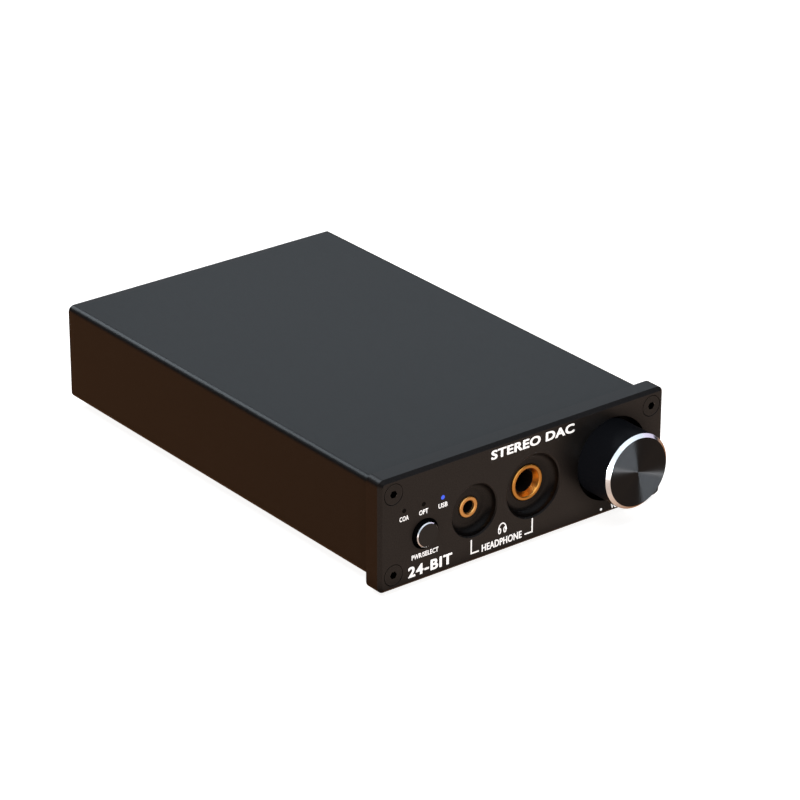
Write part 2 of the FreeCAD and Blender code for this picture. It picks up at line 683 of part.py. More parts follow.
def rear_panel():
    piece = body("rear_panel")
    plate = rectangle(sketch(piece, "front"), "0", "0", "sleeve_width", "sleeve_height")
    grow(piece, plate, "rear_thickness")
    dress(piece, "Fillet", "sleeve_corner", lengthwise)
    holes = sketch(piece, "front")
    for x in ("coax_x", "left_x", "right_x"):
        circle(holes, x, "0", "rca_hole")
    circle(holes, "dc_x", DC_AXIS, "dc_nose + cutout_play")
    for name, middle in (("usb", USB_MIDDLE), ("optical", OPTICAL_MIDDLE)):
        width, height = f"{name}_width + 2 * cutout_play", f"{name}_height + 2 * cutout_play"
        rectangle(holes, f"{name}_x", middle, width, height)
    for x, z in CORNERS:
        circle(holes, x, z, "clear_radius")
    cut(piece, holes, "rear_thickness")
    dress(piece, "Chamfer", "rear_sink_depth", ring_at("clear_radius", "rear_thickness"))
    node(place(piece, "0", f"{REAR} - rear_thickness", AXIS), "rear_panel")


def screws(name, head, length, y, turn):
    """Four countersunk screws with a hexagon socket, drawn facing along -Y and then turned."""
    cone_end = f"head_land + {head} - thread_radius"
    seed = turned(name + "_seed", "top", [
        ("0", "head_top"), (head, "head_top"), (head, "head_land"),
        ("thread_radius", cone_end), ("thread_radius", length), ("0", length)])
    cut(seed, hexagon(sketch(seed, "front", "head_top"), "socket_across"), "socket_depth")
    places = [(x, y, f"{AXIS} + {z}") for x, z in CORNERS]
    node(group(name + "_group", copies(name + "_copy", seed, places, turn)), name)


def panel_screws():
    screws("front_panel_screws", "head_radius", "front_screw_length", FRONT, 0)
    screws("rear_panel_screws", "rear_head_radius", "rear_screw_length", REAR, 180)


def rubber_feet():
    seed = turned("foot_seed", "front", [
        ("0", "0"), ("foot_radius - foot_edge", "0"), ("foot_radius", "foot_edge"),
        ("foot_radius", "foot_height"), ("0", "foot_height")])
    places = [(f"{side} * foot_across / 2", y, "0")
              for side in (-1, 1) for y in (f"{PANEL_BACK} + foot_inset", f"{REAR} - foot_inset")]
    node(group("feet", copies("foot", seed, places)), "rubber_feet")


# ---------------------------------------------------------------------------------------------------
# Headphone sockets
# ---------------------------------------------------------------------------------------------------
def bushing(name, radius, mouth, inside, lip, x, z):
    """A gold ring with a rounded front; inside lists its inner outline from the rear to the front."""
    end = "panel_thickness + ring_insert - ring_play"
    piece = turned(name, "top", [(mouth, "ring_face"), (radius, "ring_face"), (radius, end)] + inside)
    outer, inner = ring_at(radius, "ring_face"), ring_at(mouth, "ring_face")
    dress(piece, "Fillet", lip, lambda edge: outer(edge) or inner(edge))
    node(place(piece, x, FRONT, z), name)


def jack_housing(name, width, length, top, foot, seat, bore, x, z):
    """A moulded box, open underneath, with a round seat for the bushing and a bore on through."""
    piece = body(name)
    middle = f"({top} - {foot}) / 2"
    height = f"{top} + {foot}"
    grow(piece, rectangle(sketch(piece, "front", "panel_thickness"), "0", middle, width, height), length)
    bushing_seat = circle(sketch(piece, "front", "panel_thickness"), "0", "0", f"{seat} + ring_play")
    cut(piece, bushing_seat, "ring_insert")
    hollow = sketch(piece, "front", "panel_thickness + jack_front_wall")
    rectangle(hollow, "0", f"{middle} - jack_wall / 2", f"{width} - 2 * jack_wall", f"{height} - jack_wall")
    cut(piece, hollow, f"{length} - jack_front_wall - jack_wall")
    if name == "large_jack_housing":
        nose = circle(sketch(piece, "front", "nose_start"), "0", "0", "large_nose")
        grow(piece, nose, "panel_thickness + ring_insert - nose_start")
    through = circle(sketch(piece, "front", "nose_start"), "0", "0", bore)
    cut(piece, through, f"panel_thickness + {length} + overrun - nose_start")
    node(place(piece, x, FRONT, z), name)


def leaf_seed(name, wall, bore, foot, reach):
    """A bent spring strip: a flat tab on the side wall, a finger that leans to the bore, a pin below."""
    piece = body(name)
    outer = f"({wall} - leaf_gap)"
    inner = f"({outer} - leaf_thickness)"
    touch = f"({bore} + leaf_gap)"
    bend = f"{reach} - leaf_tip"
    finger = sketch(piece, "top", "-leaf_height / 2")
    outline(finger, [(inner, "0"), (outer, "0"), (outer, "leaf_tab"), (f"{touch} + leaf_thickness", bend),
                     (f"{touch} + 3 * leaf_thickness", reach), (f"{touch} + 2 * leaf_thickness", reach),
                     (touch, bend), (inner, "leaf_tab")])
    grow(piece, finger, "leaf_height")
    leg = sketch(piece, "top", f"-({foot}) - pin_reach")
    rectangle(leg, f"({inner} + {outer}) / 2", "leaf_tab / 2", "leaf_thickness", "2 * leaf_thickness")
    grow(piece, leg, f"{foot} + pin_reach")
    return piece


def jack_contacts(name, seed, wall, x, z, right, left):
    """Spring strips: some on the right-hand wall and, turned round, some on the left."""
    leg_x = f"{wall} - leaf_gap - leaf_thickness / 2"
    strips = copies(name, seed, [(x, f"{PANEL_BACK} + {y}", z) for y in right])
    strips += copies(name, seed, [(x, f"{PANEL_BACK} + {y}", z) for y in left], turn=180)
    drilled.extend([(f"{x} + {leg_x}", f"{PANEL_BACK} + {y} + leaf_tab / 2") for y in right])
    drilled.extend([(f"{x} - ({leg_x})", f"{PANEL_BACK} + {y} - leaf_tab / 2") for y in left])
    node(group(name + "_group", strips), name)


def headphone_sockets():
    small_level = f"{AXIS} + small_z"
    end, cone_end = "panel_thickness + ring_insert - ring_play", "nose_start - ring_play"
    bushing("small_jack_bushing", "small_ring", "small_bore", [("small_bore", end)],
            "small_lip", "small_x", small_level)
    bushing("large_jack_bushing", "large_ring", "large_ring_mouth",
            [("large_ring_bore", end), ("large_ring_bore", cone_end), ("large_ring_throat", cone_end)],
            "ring_lip", "large_x", AXIS)

    small_foot = "(axis_above_board + small_z)"
    jack_housing("small_jack_housing", "small_width", "small_length", "small_top", small_foot,
                 "small_ring", "small_bore", "small_x", small_level)
    jack_housing("large_jack_housing", "large_width", "large_length", "axis_above_board", "axis_above_board",
                 "large_ring", "large_bore", "large_x", AXIS)

    small_wall = "(small_width / 2 - jack_wall)"
    large_wall = "(large_width / 2 - jack_wall)"
    small_strip = leaf_seed("small_strip", small_wall, "small_bore", small_foot, "small_leaf")
    large_strip = leaf_seed("large_strip", large_wall, "large_bore", "axis_above_board", "large_leaf")
    first = "jack_front_wall + leaf_gap"
    jack_contacts("small_jack_contacts", small_strip, small_wall, "small_x", small_level,
                  [first], ["small_length - jack_wall - leaf_gap"])
    jack_contacts("large_jack_contacts", large_strip, large_wall, "large_x", AXIS,
                  [first, "large_second_leaf"], ["large_left_leaf"])


# ---------------------------------------------------------------------------------------------------
# Indicators
# ---------------------------------------------------------------------------------------------------
def indicators():
    spots = [f"led_x + {step} * led_pitch" for step in (-1, 0, 1)]
    level = f"{AXIS} + led_z"
    flange_end = "led_shelf + guide_flange_depth"
    guide = turned("guide_seed", "top", [("0", "guide_inset"), ("guide_radius", "guide_inset"),
                                         ("guide_radius", "led_shelf"), ("guide_flange", "led_shelf"),
                                         ("guide_flange", flange_end), ("0", flange_end)])
    node(group("guides", copies("guide", guide, [(x, FRONT, level) for x in spots])), "light_guides")

    collar = "led_tip + led_length"
    lamp = turned("lamp_seed", "top", [("0", "led_tip"), ("led_radius", "led_tip"), ("led_radius", collar),
                                       ("led_collar", collar), ("led_collar", f"{collar} + led_collar_depth"),
                                       ("0", f"{collar} + led_collar_depth")])
    dress(lamp, "Fillet", "led_dome", ring_at("led_radius", "led_tip"))
    node(group("lamps", copies("lamp", lamp, [(x, FRONT, level) for x in spots])), "indicator_leds")

    start = f"({collar} + led_collar_depth)"
    lead = body("lead_seed")
    lead_end = "-axis_above_board - led_z - pin_reach"
    bend = outline(sketch(lead, "side", "-lead_side / 2"), [
        (start, "-lead_side / 2"), ("lead_back - lead_side", "-lead_side / 2"),
        ("lead_back - lead_side", lead_end), ("lead_back", lead_end),
        ("lead_back", "lead_side / 2"), (start, "lead_side / 2")])
    grow(lead, bend, "lead_side")
    lead_spots = [f"{x} + {side} * lead_pitch / 2" for x in spots for side in (-1, 1)]
    node(group("leads", copies("lead", lead, [(x, FRONT, level) for x in lead_spots])), "led_leads")
    drilled.extend([(x, f"{FRONT} + lead_back - lead_side / 2") for x in lead_spots])

    bar_bottom = f"{level} - holder_height / 2"
    holder_front = f"{FRONT} + {start}"
    bar = block("holder_bar", "holder_width", "holder_depth", "holder_height",
                "led_x", holder_front, bar_bottom)
    legs = [block("holder_leg", "holder_leg", "holder_depth", f"{bar_bottom} - {BOARD}",
                  f"led_x + {side} * (holder_width - holder_leg) / 2", holder_front, BOARD)
            for side in (-1, 1)]
    channels = [rod("lead_channel", "lead_side", "holder_depth", "y", x, holder_front, level)
                for x in lead_spots]
    node(minus("holder", fused("holder_frame", [bar] + legs), channels), "led_holder")


# ---------------------------------------------------------------------------------------------------
# Select button
# ---------------------------------------------------------------------------------------------------
def select_button():
    level = f"{AXIS} + button_z"
    flange = "(panel_thickness + button_flange_gap)"
    flange_end = f"{flange} + button_flange_depth"
    cap = turned("button_cap", "top", [
        ("0", "-button_reach"), ("button_radius - button_edge", "-button_reach"),
        ("button_radius", "-button_reach + button_edge"), ("button_radius", flange),
        ("button_flange", flange), ("button_flange", flange_end), ("button_stem", flange_end),
        ("button_stem", "plunger_front"), ("0", "plunger_front")])
    node(place(cap, "button_x", FRONT, level), "select_button")
    plunger_start = f"{FRONT} + plunger_front"
    plunger = rod("plunger", "plunger_radius", "plunger_length", "y", "button_x", plunger_start, level)
    node(plunger, "switch_plunger")
    case = block("switch_case", "switch_width", "switch_depth", "switch_top + axis_above_board + button_z",
                 "button_x", f"{FRONT} + switch_front", BOARD)
    plunger_end = "plunger_front + plunger_length + button_travel"
    bore_depth = f"{plunger_end} + switch_end_play - switch_front"
    bore = rod("switch_bore", "plunger_radius + shaft_play", bore_depth, "y",
               "button_x", f"{FRONT} + switch_front", level)
    node(minus("switch", case, [bore]), "switch_housing")
    pins = solder_pins("switch", [(f"button_x + {side} * switch_pins_across / 2",
                                   f"{FRONT} + switch_front + (switch_depth + {row} * switch_pins_along) / 2")
                                  for side in (-1, 1) for row in (-1, 1)])
    node(group("switch_pin_group", pins), "switch_pins")


# ---------------------------------------------------------------------------------------------------
# Volume control
# ---------------------------------------------------------------------------------------------------
def volume_control():
    knob = turned("knob", "top", [
        ("0", "-knob_reach"), ("knob_radius - knob_chamfer", "-knob_reach"),
        ("knob_radius", "-knob_reach + knob_chamfer"), ("knob_radius", "knob_back"),
        ("knob_hollow", "knob_back"), ("knob_hollow", "-knob_hollow_end"), ("knob_bore", "-knob_hollow_end"),
        ("knob_bore", "-knob_bore_end"), ("0", "-knob_bore_end")])
    grub_hole = circle(sketch(knob, "top"), "0", "-grub_y", "tapped_radius")
    cut(knob, grub_hole, "knob_radius + overrun", backwards=True)
    node(place(knob, "knob_x", FRONT, AXIS), "volume_knob")

    grub = body("grub")
    grub_end = "-shaft_flat - grub_length - shaft_play"
    grow(grub, circle(sketch(grub, "top", grub_end), "0", "0", "grub_radius"), "grub_length")
    cut(grub, hexagon(sketch(grub, "top", grub_end), "grub_socket"), "grub_socket_depth")
    node(place(grub, "knob_x", f"{FRONT} - grub_y", AXIS), "knob_grub_screw")

    rotor_end = "rotor_front + rotor_depth"
    shaft = turned("shaft", "top", [
        ("0", "-shaft_end"), ("shaft_radius", "-shaft_end"), ("shaft_radius", "rotor_front"),
        ("rotor_radius", "rotor_front"), ("rotor_radius", rotor_end), ("0", rotor_end)])
    flat = sketch(shaft, "front", "-shaft_end")
    rectangle(flat, "0", "-shaft_flat - shaft_radius / 2", "2 * (shaft_radius + overrun)", "shaft_radius")
    cut(shaft, flat, "shaft_flat_length")
    node(place(shaft, "knob_x", FRONT, AXIS), "potentiometer_shaft")

    case = body("pot_case")
    box = sketch(case, "front", "panel_thickness")
    rectangle(box, "0", "(pot_top - axis_above_board) / 2", "pot_width", "pot_top + axis_above_board")
    grow(case, box, "pot_depth")
    neck = circle(sketch(case, "front", "-pot_bushing_reach"), "0", "0", "pot_bushing")
    grow(case, neck, "pot_bushing_reach + panel_thickness + overrun")
    bearing = circle(sketch(case, "front", "-pot_bushing_reach"), "0", "0", "shaft_radius + shaft_play")
    cut(case, bearing, "pot_bushing_reach + rotor_front")
    room = "rotor_radius + rotor_play"
    room_start, room_end = "rotor_front - rotor_play", f"{rotor_end} + rotor_play"
    hollow = [("0", room_start), (room, room_start), (room, room_end), ("0", room_end)]
    revolve(case, outline(sketch(case, "top"), hollow), "PartDesign::Groove")
    node(place(case, "knob_x", FRONT, AXIS), "potentiometer_housing")

    washer_front = "(knob_pocket_depth - washer_thickness)"
    washer_bore = "pot_bushing + ring_play"
    washer = turned("washer", "top", [
        (washer_bore, washer_front), ("washer_radius", washer_front),
        ("washer_radius", "knob_pocket_depth"), (washer_bore, "knob_pocket_depth")])
    node(place(washer, "knob_x", FRONT, AXIS), "potentiometer_washer")
    nut = body("nut")
    nut_front = f"{washer_front} - nut_thickness"
    grow(nut, hexagon(sketch(nut, "front", nut_front), "nut_across"), "nut_thickness")
    cut(nut, circle(sketch(nut, "front", nut_front), "0", "0", "pot_bushing + nut_play"), "nut_thickness")
    node(place(nut, "knob_x", FRONT, AXIS), "potentiometer_nut")
    pins = solder_pins("pot", [(f"knob_x + {step} * lead_pitch", f"{PANEL_BACK} + pot_pins_y")
                               for step in (-1, 0, 1)])
    node(group("pot_pin_group", pins), "potentiometer_pins")


# ---------------------------------------------------------------------------------------------------
# Rear connectors, measured from the rear face of the rear panel
# ---------------------------------------------------------------------------------------------------
def dc_socket():
    piece = body("dc_housing")
    back = "-rear_thickness - dc_length"
    bore_end = "dc_proud - dc_bore_depth"
    box = sketch(piece, "front", back)
    rectangle(box, "0", "dc_height / 2 - dc_rise", "dc_width", "dc_height")
    grow(piece, box, "dc_length")
    nose = circle(sketch(piece, "front", "-rear_thickness - overrun"), "0", "0", "dc_nose")
    grow(piece, nose, "rear_thickness + overrun + dc_proud")
    cut(piece, circle(sketch(piece, "front", bore_end), "0", "0", "dc_bore"), "dc_bore_depth")
    tail_hole = circle(sketch(piece, "front", back), "0", "0", "dc_tail + rca_play")
    cut(piece, tail_hole, f"{bore_end} + rear_thickness + dc_length")
    node(place(piece, "dc_x", REAR, f"{AXIS} + {DC_AXIS}"), "dc_socket_housing")

    tip = "dc_proud - dc_pin_inset"
    pin = turned("dc_centre", "top", [
        ("0", back), ("dc_tail", back), ("dc_tail", bore_end), ("dc_pin", bore_end),
        ("dc_pin", f"{tip} - dc_pin_edge"), ("dc_pin - dc_pin_edge", tip), ("0", tip)])
    node(place(pin, "dc_x", REAR, f"{AXIS} + {DC_AXIS}"), "dc_socket_centre_pin")

    inside = f"{REAR} - rear_thickness"
    pins = solder_pins("dc", [("dc_x", f"{inside} - dc_back_tab"), ("dc_x", f"{inside} - dc_sleeve_tab"),
                              ("dc_x + dc_switch_tab_x", f"{inside} - dc_switch_tab")])
    node(group("dc_pin_group", pins), "dc_socket_pins")


def usb_socket():
    level = f"{AXIS} + {USB_MIDDLE}"
    back = "-rear_thickness - usb_length"
    whole = "usb_length + rear_thickness + usb_proud"
    shell = body("usb_case")
    grow(shell, rectangle(sketch(shell, "front", back), "0", "0", "usb_width", "usb_height"), whole)
    inside = sketch(shell, "front", f"{back} + usb_wall")
    rectangle(inside, "0", "0", "usb_width - 2 * usb_wall", "usb_height - 2 * usb_wall")
    cut(shell, inside, whole)
    node(place(shell, "usb_x", REAR, level), "usb_socket_shell")

    insert = body("usb_core")
    play = "(usb_wall + rca_play)"
    core = sketch(insert, "front", f"{back} + {play}")
    rectangle(core, "0", "0", f"usb_width - 2 * {play}", f"usb_height - 2 * {play}")
    grow(insert, core, f"{whole} - {play} - usb_wall")
    floor = "usb_proud - usb_mouth_depth"
    half, rise = "(usb_mouth_width / 2)", "(usb_mouth_height / 2)"
    mouth = outline(sketch(insert, "front", floor), [
        (f"-{half}", f"-{rise}"), (half, f"-{rise}"), (half, f"{rise} - usb_mouth_corner"),
        (f"{half} - usb_mouth_corner", rise), (f"-{half} + usb_mouth_corner", rise),
        (f"-{half}", f"{rise} - usb_mouth_corner")])
    cut(insert, mouth, "usb_mouth_depth")
    tongue = sketch(insert, "front", f"{floor} - overrun")
    rectangle(tongue, "0", "0", "usb_tongue_width", "usb_tongue_height")
    grow(insert, tongue, "usb_mouth_depth + overrun - usb_tongue_inset")
    node(place(insert, "usb_x", REAR, level), "usb_socket_insert")

    strips = []
    for side in (-1, 1):
        for face in ("usb_tongue_height / 2", "-usb_tongue_height / 2 - usb_contact_thickness"):
            x = f"usb_x + {side} * usb_contact_pitch / 2"
            strips.append(block("usb_strip", "usb_contact_width", "usb_contact_length",
                                "usb_contact_thickness", x, f"{REAR} + {floor}", f"{level} + {face}"))
    node(group("usb_strips", strips), "usb_socket_contacts")


def optical_socket():
    """A square socket closed by a flap that hinges at the top and swings inwards."""
    level = f"{AXIS} + {OPTICAL_MIDDLE}"
    floor = "optical_proud - optical_depth"
    piece = body("optical_case")
    box = sketch(piece, "front", "-rear_thickness - optical_length")
    rectangle(box, "0", "0", "optical_width", "optical_height")
    grow(piece, box, "optical_length + rear_thickness + optical_proud")
    mouth = sketch(piece, "front", floor)
    rectangle(mouth, "0", "0", "optical_mouth_width", "optical_mouth_height")
    cut(piece, mouth, "optical_depth")
    room = sketch(piece, "front", floor)
    rectangle(room, "0", "optical_mouth_height / 2 + shutter_room / 2", "optical_mouth_width", "shutter_room")
    cut(piece, room, "optical_depth - optical_lip")
    pivots = sketch(piece, "side", "-optical_mouth_width / 2 - hinge_reach - shutter_gap")
    circle(pivots, HINGE_Y, HINGE_Z, "hinge_radius + hinge_play")
    cut(piece, pivots, "optical_mouth_width + 2 * (hinge_reach + shutter_gap)")
    node(place(piece, "optical_x", REAR, level), "optical_socket_housing")

    hinge_y, hinge_z = f"{REAR} + {HINGE_Y}", f"{level} + {HINGE_Z}"
    drop = "optical_mouth_height + hinge_drop - shutter_gap"
    leaf = block("shutter_leaf", "optical_mouth_width - 2 * shutter_gap", "shutter_thickness", drop,
                 "optical_x", f"{hinge_y} - shutter_thickness / 2", f"{hinge_z} - ({drop})")
    pivot = rod("shutter_pivot", "hinge_radius", "optical_mouth_width + 2 * hinge_reach", "x",
                "optical_x - optical_mouth_width / 2 - hinge_reach", hinge_y, hinge_z)
    node(fused("shutter", [leaf, pivot]), "optical_socket_shutter")
    lens = rod("detector", "detector_radius", "detector_depth", "y", "optical_x", f"{REAR} + {floor}", level)
    node(lens, "optical_detector")


def round_sockets():
    """Coaxial input and the two line outputs, alike but for the colour of their insulators."""
    inside = f"{REAR} - rear_thickness"
    back = "-rear_thickness - rca_seat"
    housings, shells, contacts, pins = [], [], [], []
    for channel, name in ROUND_SOCKETS.items():
        x = channel + "_x"
        case = block(channel + "_case", "rca_width", "rca_depth", "rca_top + axis_above_board", x,
                     f"{inside} - rca_depth", BOARD)
        seat = rod(channel + "_seat", "rca_base + rca_play", "rca_seat + rca_play", "y", x,
                   f"{inside} - rca_seat - rca_play", AXIS)
        housings.append(minus(channel + "_housing", case, [seat]))

        shell = turned(channel + "_shell", "top", [
            ("rca_shell_bore", back), ("rca_base", back), ("rca_base", "rca_base_reach"),
            ("rca_shell", "rca_base_reach"), ("rca_shell", "rca_reach"), ("rca_shell_bore", "rca_reach")])
        dress(shell, "Chamfer", "hole_rim", at_depth("rca_reach"))
        shells.append(place(shell, x, REAR, AXIS))

        tube_bore = "rca_contact + rca_play"
        tube = turned(channel + "_insulator", "top", [
            (tube_bore, back), ("rca_insulator", back),
            ("rca_insulator", "rca_insulator_reach"), (tube_bore, "rca_insulator_reach")])
        node(place(tube, x, REAR, AXIS), name + "_insulator")

        start = f"{back} + rca_play"
        floor = f"{start} + rca_contact_floor"
        contact = turned(channel + "_contact", "top", [
            ("0", start), ("rca_contact", start), ("rca_contact", "rca_contact_reach"),
            ("rca_contact_bore", "rca_contact_reach"), ("rca_contact_bore", floor), ("0", floor)])
        contacts.append(place(contact, x, REAR, AXIS))
        earth = [(f"{x} + {side} * rca_earth_pins_across / 2", f"{inside} - rca_earth_pins")
                 for side in (-1, 1)]
        pins += solder_pins(channel, [(x, f"{inside} - rca_signal_pin")] + earth)
    node(group("housing_group", housings), "round_socket_housings")
    node(group("shell_group", shells), "round_socket_shells")
    node(group("contact_group", contacts), "round_socket_contacts")
    node(group("rca_pin_group", pins), "round_socket_pins")


# ---------------------------------------------------------------------------------------------------
# Components on the circuit board
# ---------------------------------------------------------------------------------------------------
def spots(name):
    """Where the layout puts a component: formulas for a point on the board's upper face."""
    return [(str(x), f"{PANEL_BACK} + {y}", BOARD) for x, y in LAYOUT[name]]


def spread(name, seed):
    """One node of equal components, at every place that the layout gives them."""
    node(group(name + "_group", copies(name + "_copy", seed, spots(name))), name)


def chips():
    """Flat packages with leads along their two long sides."""
    for name, (width, depth, leads_a_side) in CHIPS.items():
        piece = body(name + "_package")
        grow(piece, rectangle(sketch(piece, "top"), "0", "0", str(width), str(depth)), "chip_height")
        leads = sketch(piece, "top")
        for side in (-1, 1):
            for step in range(leads_a_side):
                along = f"({step} + 0.5) * {depth} / {leads_a_side} - {depth} / 2"
                rectangle(leads, f"{side} * ({width} + chip_lead) / 2", along, "chip_lead", "chip_lead_width")
        grow(piece, leads, "chip_lead_height")
        node(place(piece, *spots(name)[0]), name)


def can(name, radius, height):
    """Electrolytic capacitors: cans with a rolled groove near the foot and a sloped top edge."""
    groove_low, groove_high = "can_groove_rise - can_groove", "can_groove_rise + can_groove"
    seed = turned(name + "_seed", "front", [
        ("0", "0"), (radius, "0"), (radius, groove_low), (f"{radius} - can_groove", "can_groove_rise"),
        (radius, groove_high), (radius, f"{height} - can_edge"), (f"{radius} - can_edge", height),
        ("0", height)])
    spread(name, seed)


def moulded_box(name, width, depth, height, rounding="box_edge"):
    """A box with its four upright edges rounded."""
    piece = body(name)
    grow(piece, rectangle(sketch(piece, "top"), "0", "0", width, depth), height)
    dress(piece, "Fillet", rounding, upright(height))
    return piece


def capacitors():
    can("supply_capacitors", "can_radius", "can_height")
    can("small_capacitors", "small_can_radius", "small_can_height")
    spread("film_capacitors", moulded_box("film_seed", "film_width", "film_depth", "film_height"))


def relay_and_crystals():
    spread("output_relay", moulded_box("relay", "relay_width", "relay_depth", "relay_height"))
    crystal = moulded_box("crystal", "crystal_width", "crystal_depth", "crystal_height", "crystal_round")
    spread("crystals", crystal)


def inductors():
    waist_high = "coil_height - coil_flange"
    seed = turned("coil_seed", "front", [
        ("0", "0"), ("coil_radius", "0"), ("coil_radius", "coil_flange"), ("coil_waist", "coil_flange"),
        ("coil_waist", waist_high), ("coil_radius", waist_high), ("coil_radius", "coil_height"),
        ("0", "coil_height")])
    spread("power_inductors", seed)


def op_amps():
    socket = moulded_box("opamp_socket", "opamp_socket_width", "opamp_depth", "opamp_socket_height")
    node(group("socket_group", copies("socket", socket, spots("op_amps"))), "op_amp_sockets")
    package = moulded_box("opamp", "opamp_width", "opamp_depth", "opamp_height")
    places = [(x, y, f"{base} + opamp_socket_height") for x, y, base in spots("op_amps")]
    node(group("opamp_group", copies("opamp_copy", package, places)), "op_amps")


def regulators():
    mouldings, metal = [], []
    for x, front, board_face in spots("voltage_regulators"):
        base = f"{board_face} + regulator_stand"
        tab_front = f"{front} + regulator_depth - tab_thickness"
        mouldings.append(block("regulator", "regulator_width", "regulator_depth - tab_thickness",
                               "regulator_height", x, front, base))
        tab = block("tab", "regulator_width", "tab_thickness", "tab_height", x, tab_front, base)
        hole_level = f"{base} + tab_height - 2 * tab_hole"
        hole = rod("tab_bore", "tab_hole", "tab_thickness", "y", x, tab_front, hole_level)
        metal.append(minus("regulator_tab", tab, [hole]))
        for step in (-1, 0, 1):
            leg_x, leg_y = f"{x} + {step} * lead_pitch", f"{front} + regulator_legs"
            metal.append(rod("regulator_leg", "pin_radius", "regulator_stand + pin_reach", "z",
                             leg_x, leg_y, f"{board_face} - pin_reach"))
            drilled.append((leg_x, leg_y))
    node(group("regulator_group", mouldings), "voltage_regulators")
    node(group("metal_group", metal), "regulator_lead_frames")


def chip_resistors():
    """Rows of small resistors between the larger parts."""
    piece = body("resistor_field")
    rows = sketch(piece, "top")
    for x, y in LAYOUT["chip_resistor_rows"]:
        for step in range(RESISTORS_IN_A_ROW):
            across = f"{x} + {step} * chip_resistor_pitch"
            rectangle(rows, across, str(y), "chip_resistor_width", "chip_resistor_depth")
    grow(piece, rows, "chip_resistor_height")
    node(place(piece, "0", PANEL_BACK, BOARD), "chip_resistors")


def circuit_board():
    """The board comes last: it is drilled for every solder pin."""
    piece = body("board")
    length = f"({SLEEVE_LENGTH} - board_front_gap - board_play)"
    width = "sleeve_width - 2 * sleeve_wall - 2 * board_play"
    plate = sketch(piece, "top", "-board_thickness")
    rectangle(plate, "0", f"{PANEL_BACK} + board_front_gap + {length} / 2", width, length)
    grow(piece, plate, "board_thickness")
    holes = sketch(piece, "top", "-board_thickness")
    for x, y in drilled:
        circle(holes, x, y, "drill_radius")
    cut(piece, holes, "board_thickness")
    node(place(piece, "0", "0", BOARD), "circuit_board")


def check_and_write():
    document.recompute()
    for thing in document.Objects:
        if "Invalid" in thing.State or "Error" in thing.State:
            raise RuntimeError(f"{thing.Name} did not compute: {thing.State}")
    os.makedirs("parts", exist_ok=True)
    for piece in nodes:
        if piece.Shape.isNull() or not piece.Shape.isValid() or not piece.Shape.Solids:
            raise RuntimeError(f"{piece.Label} has no valid solid")
    for piece in nodes:
        piece.Shape.exportStep(os.path.join("parts", piece.Label + ".step"))
        print(piece.Label, len(piece.Shape.Solids), "solids", round(piece.Shape.Volume, 1), "mm3")
    print(len(nodes), "nodes")


front_panel()
housing_sleeve()
rear_panel()
panel_screws()
rubber_feet()
headphone_sockets()
indicators()
select_button()
volume_control()
dc_socket()
usb_socket()
optical_socket()
round_sockets()
chips()
capacitors()
relay_and_crystals()
inductors()
op_amps()
regulators()
chip_resistors()
circuit_board()
check_and_write()
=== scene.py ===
"""Looks of the desktop DAC: procedural materials, printed legends and studio light round the CAD frame."""
import math

import bmesh
import bpy
from mathutils import Matrix, Vector


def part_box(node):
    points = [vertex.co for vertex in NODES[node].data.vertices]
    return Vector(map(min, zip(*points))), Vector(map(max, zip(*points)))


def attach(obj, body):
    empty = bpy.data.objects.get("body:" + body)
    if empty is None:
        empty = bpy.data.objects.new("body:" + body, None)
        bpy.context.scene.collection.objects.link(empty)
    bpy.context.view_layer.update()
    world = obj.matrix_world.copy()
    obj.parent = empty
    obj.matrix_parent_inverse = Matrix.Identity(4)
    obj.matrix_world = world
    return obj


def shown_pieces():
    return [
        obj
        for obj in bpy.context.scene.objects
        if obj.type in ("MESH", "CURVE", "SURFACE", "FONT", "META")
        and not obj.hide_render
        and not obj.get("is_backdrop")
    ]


MM = 0.001

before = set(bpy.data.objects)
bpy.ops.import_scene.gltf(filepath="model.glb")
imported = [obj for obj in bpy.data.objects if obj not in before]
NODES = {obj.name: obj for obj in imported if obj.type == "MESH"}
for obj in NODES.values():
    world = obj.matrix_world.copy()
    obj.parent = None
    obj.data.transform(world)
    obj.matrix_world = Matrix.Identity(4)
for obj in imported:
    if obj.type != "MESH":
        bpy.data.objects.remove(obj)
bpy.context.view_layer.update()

# ---------------------------------------------------------------------------------------------
# Places read from the frame
# ---------------------------------------------------------------------------------------------
panel_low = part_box("front_panel")[0]
sleeve_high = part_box("housing_sleeve")[1]
rear_low, rear_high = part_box("rear_panel")
FACE_Y = panel_low.y
REAR_Y = rear_high.y


def middle(node):
    low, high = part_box(node)
    return (low + high) / 2


KNOB = middle("volume_knob")
SMALL_JACK = middle("small_jack_bushing")
LARGE_JACK = middle("large_jack_bushing")
BUTTON = middle("select_button")
guides_low, guides_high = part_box("light_guides")
LED_Z = (guides_low.z + guides_high.z) / 2
LED_MID_X = (guides_low.x + guides_high.x) / 2
LED_PITCH = (guides_high.x - guides_low.x) / 2 - 1.5 * MM
LIT_X = LED_MID_X + LED_PITCH


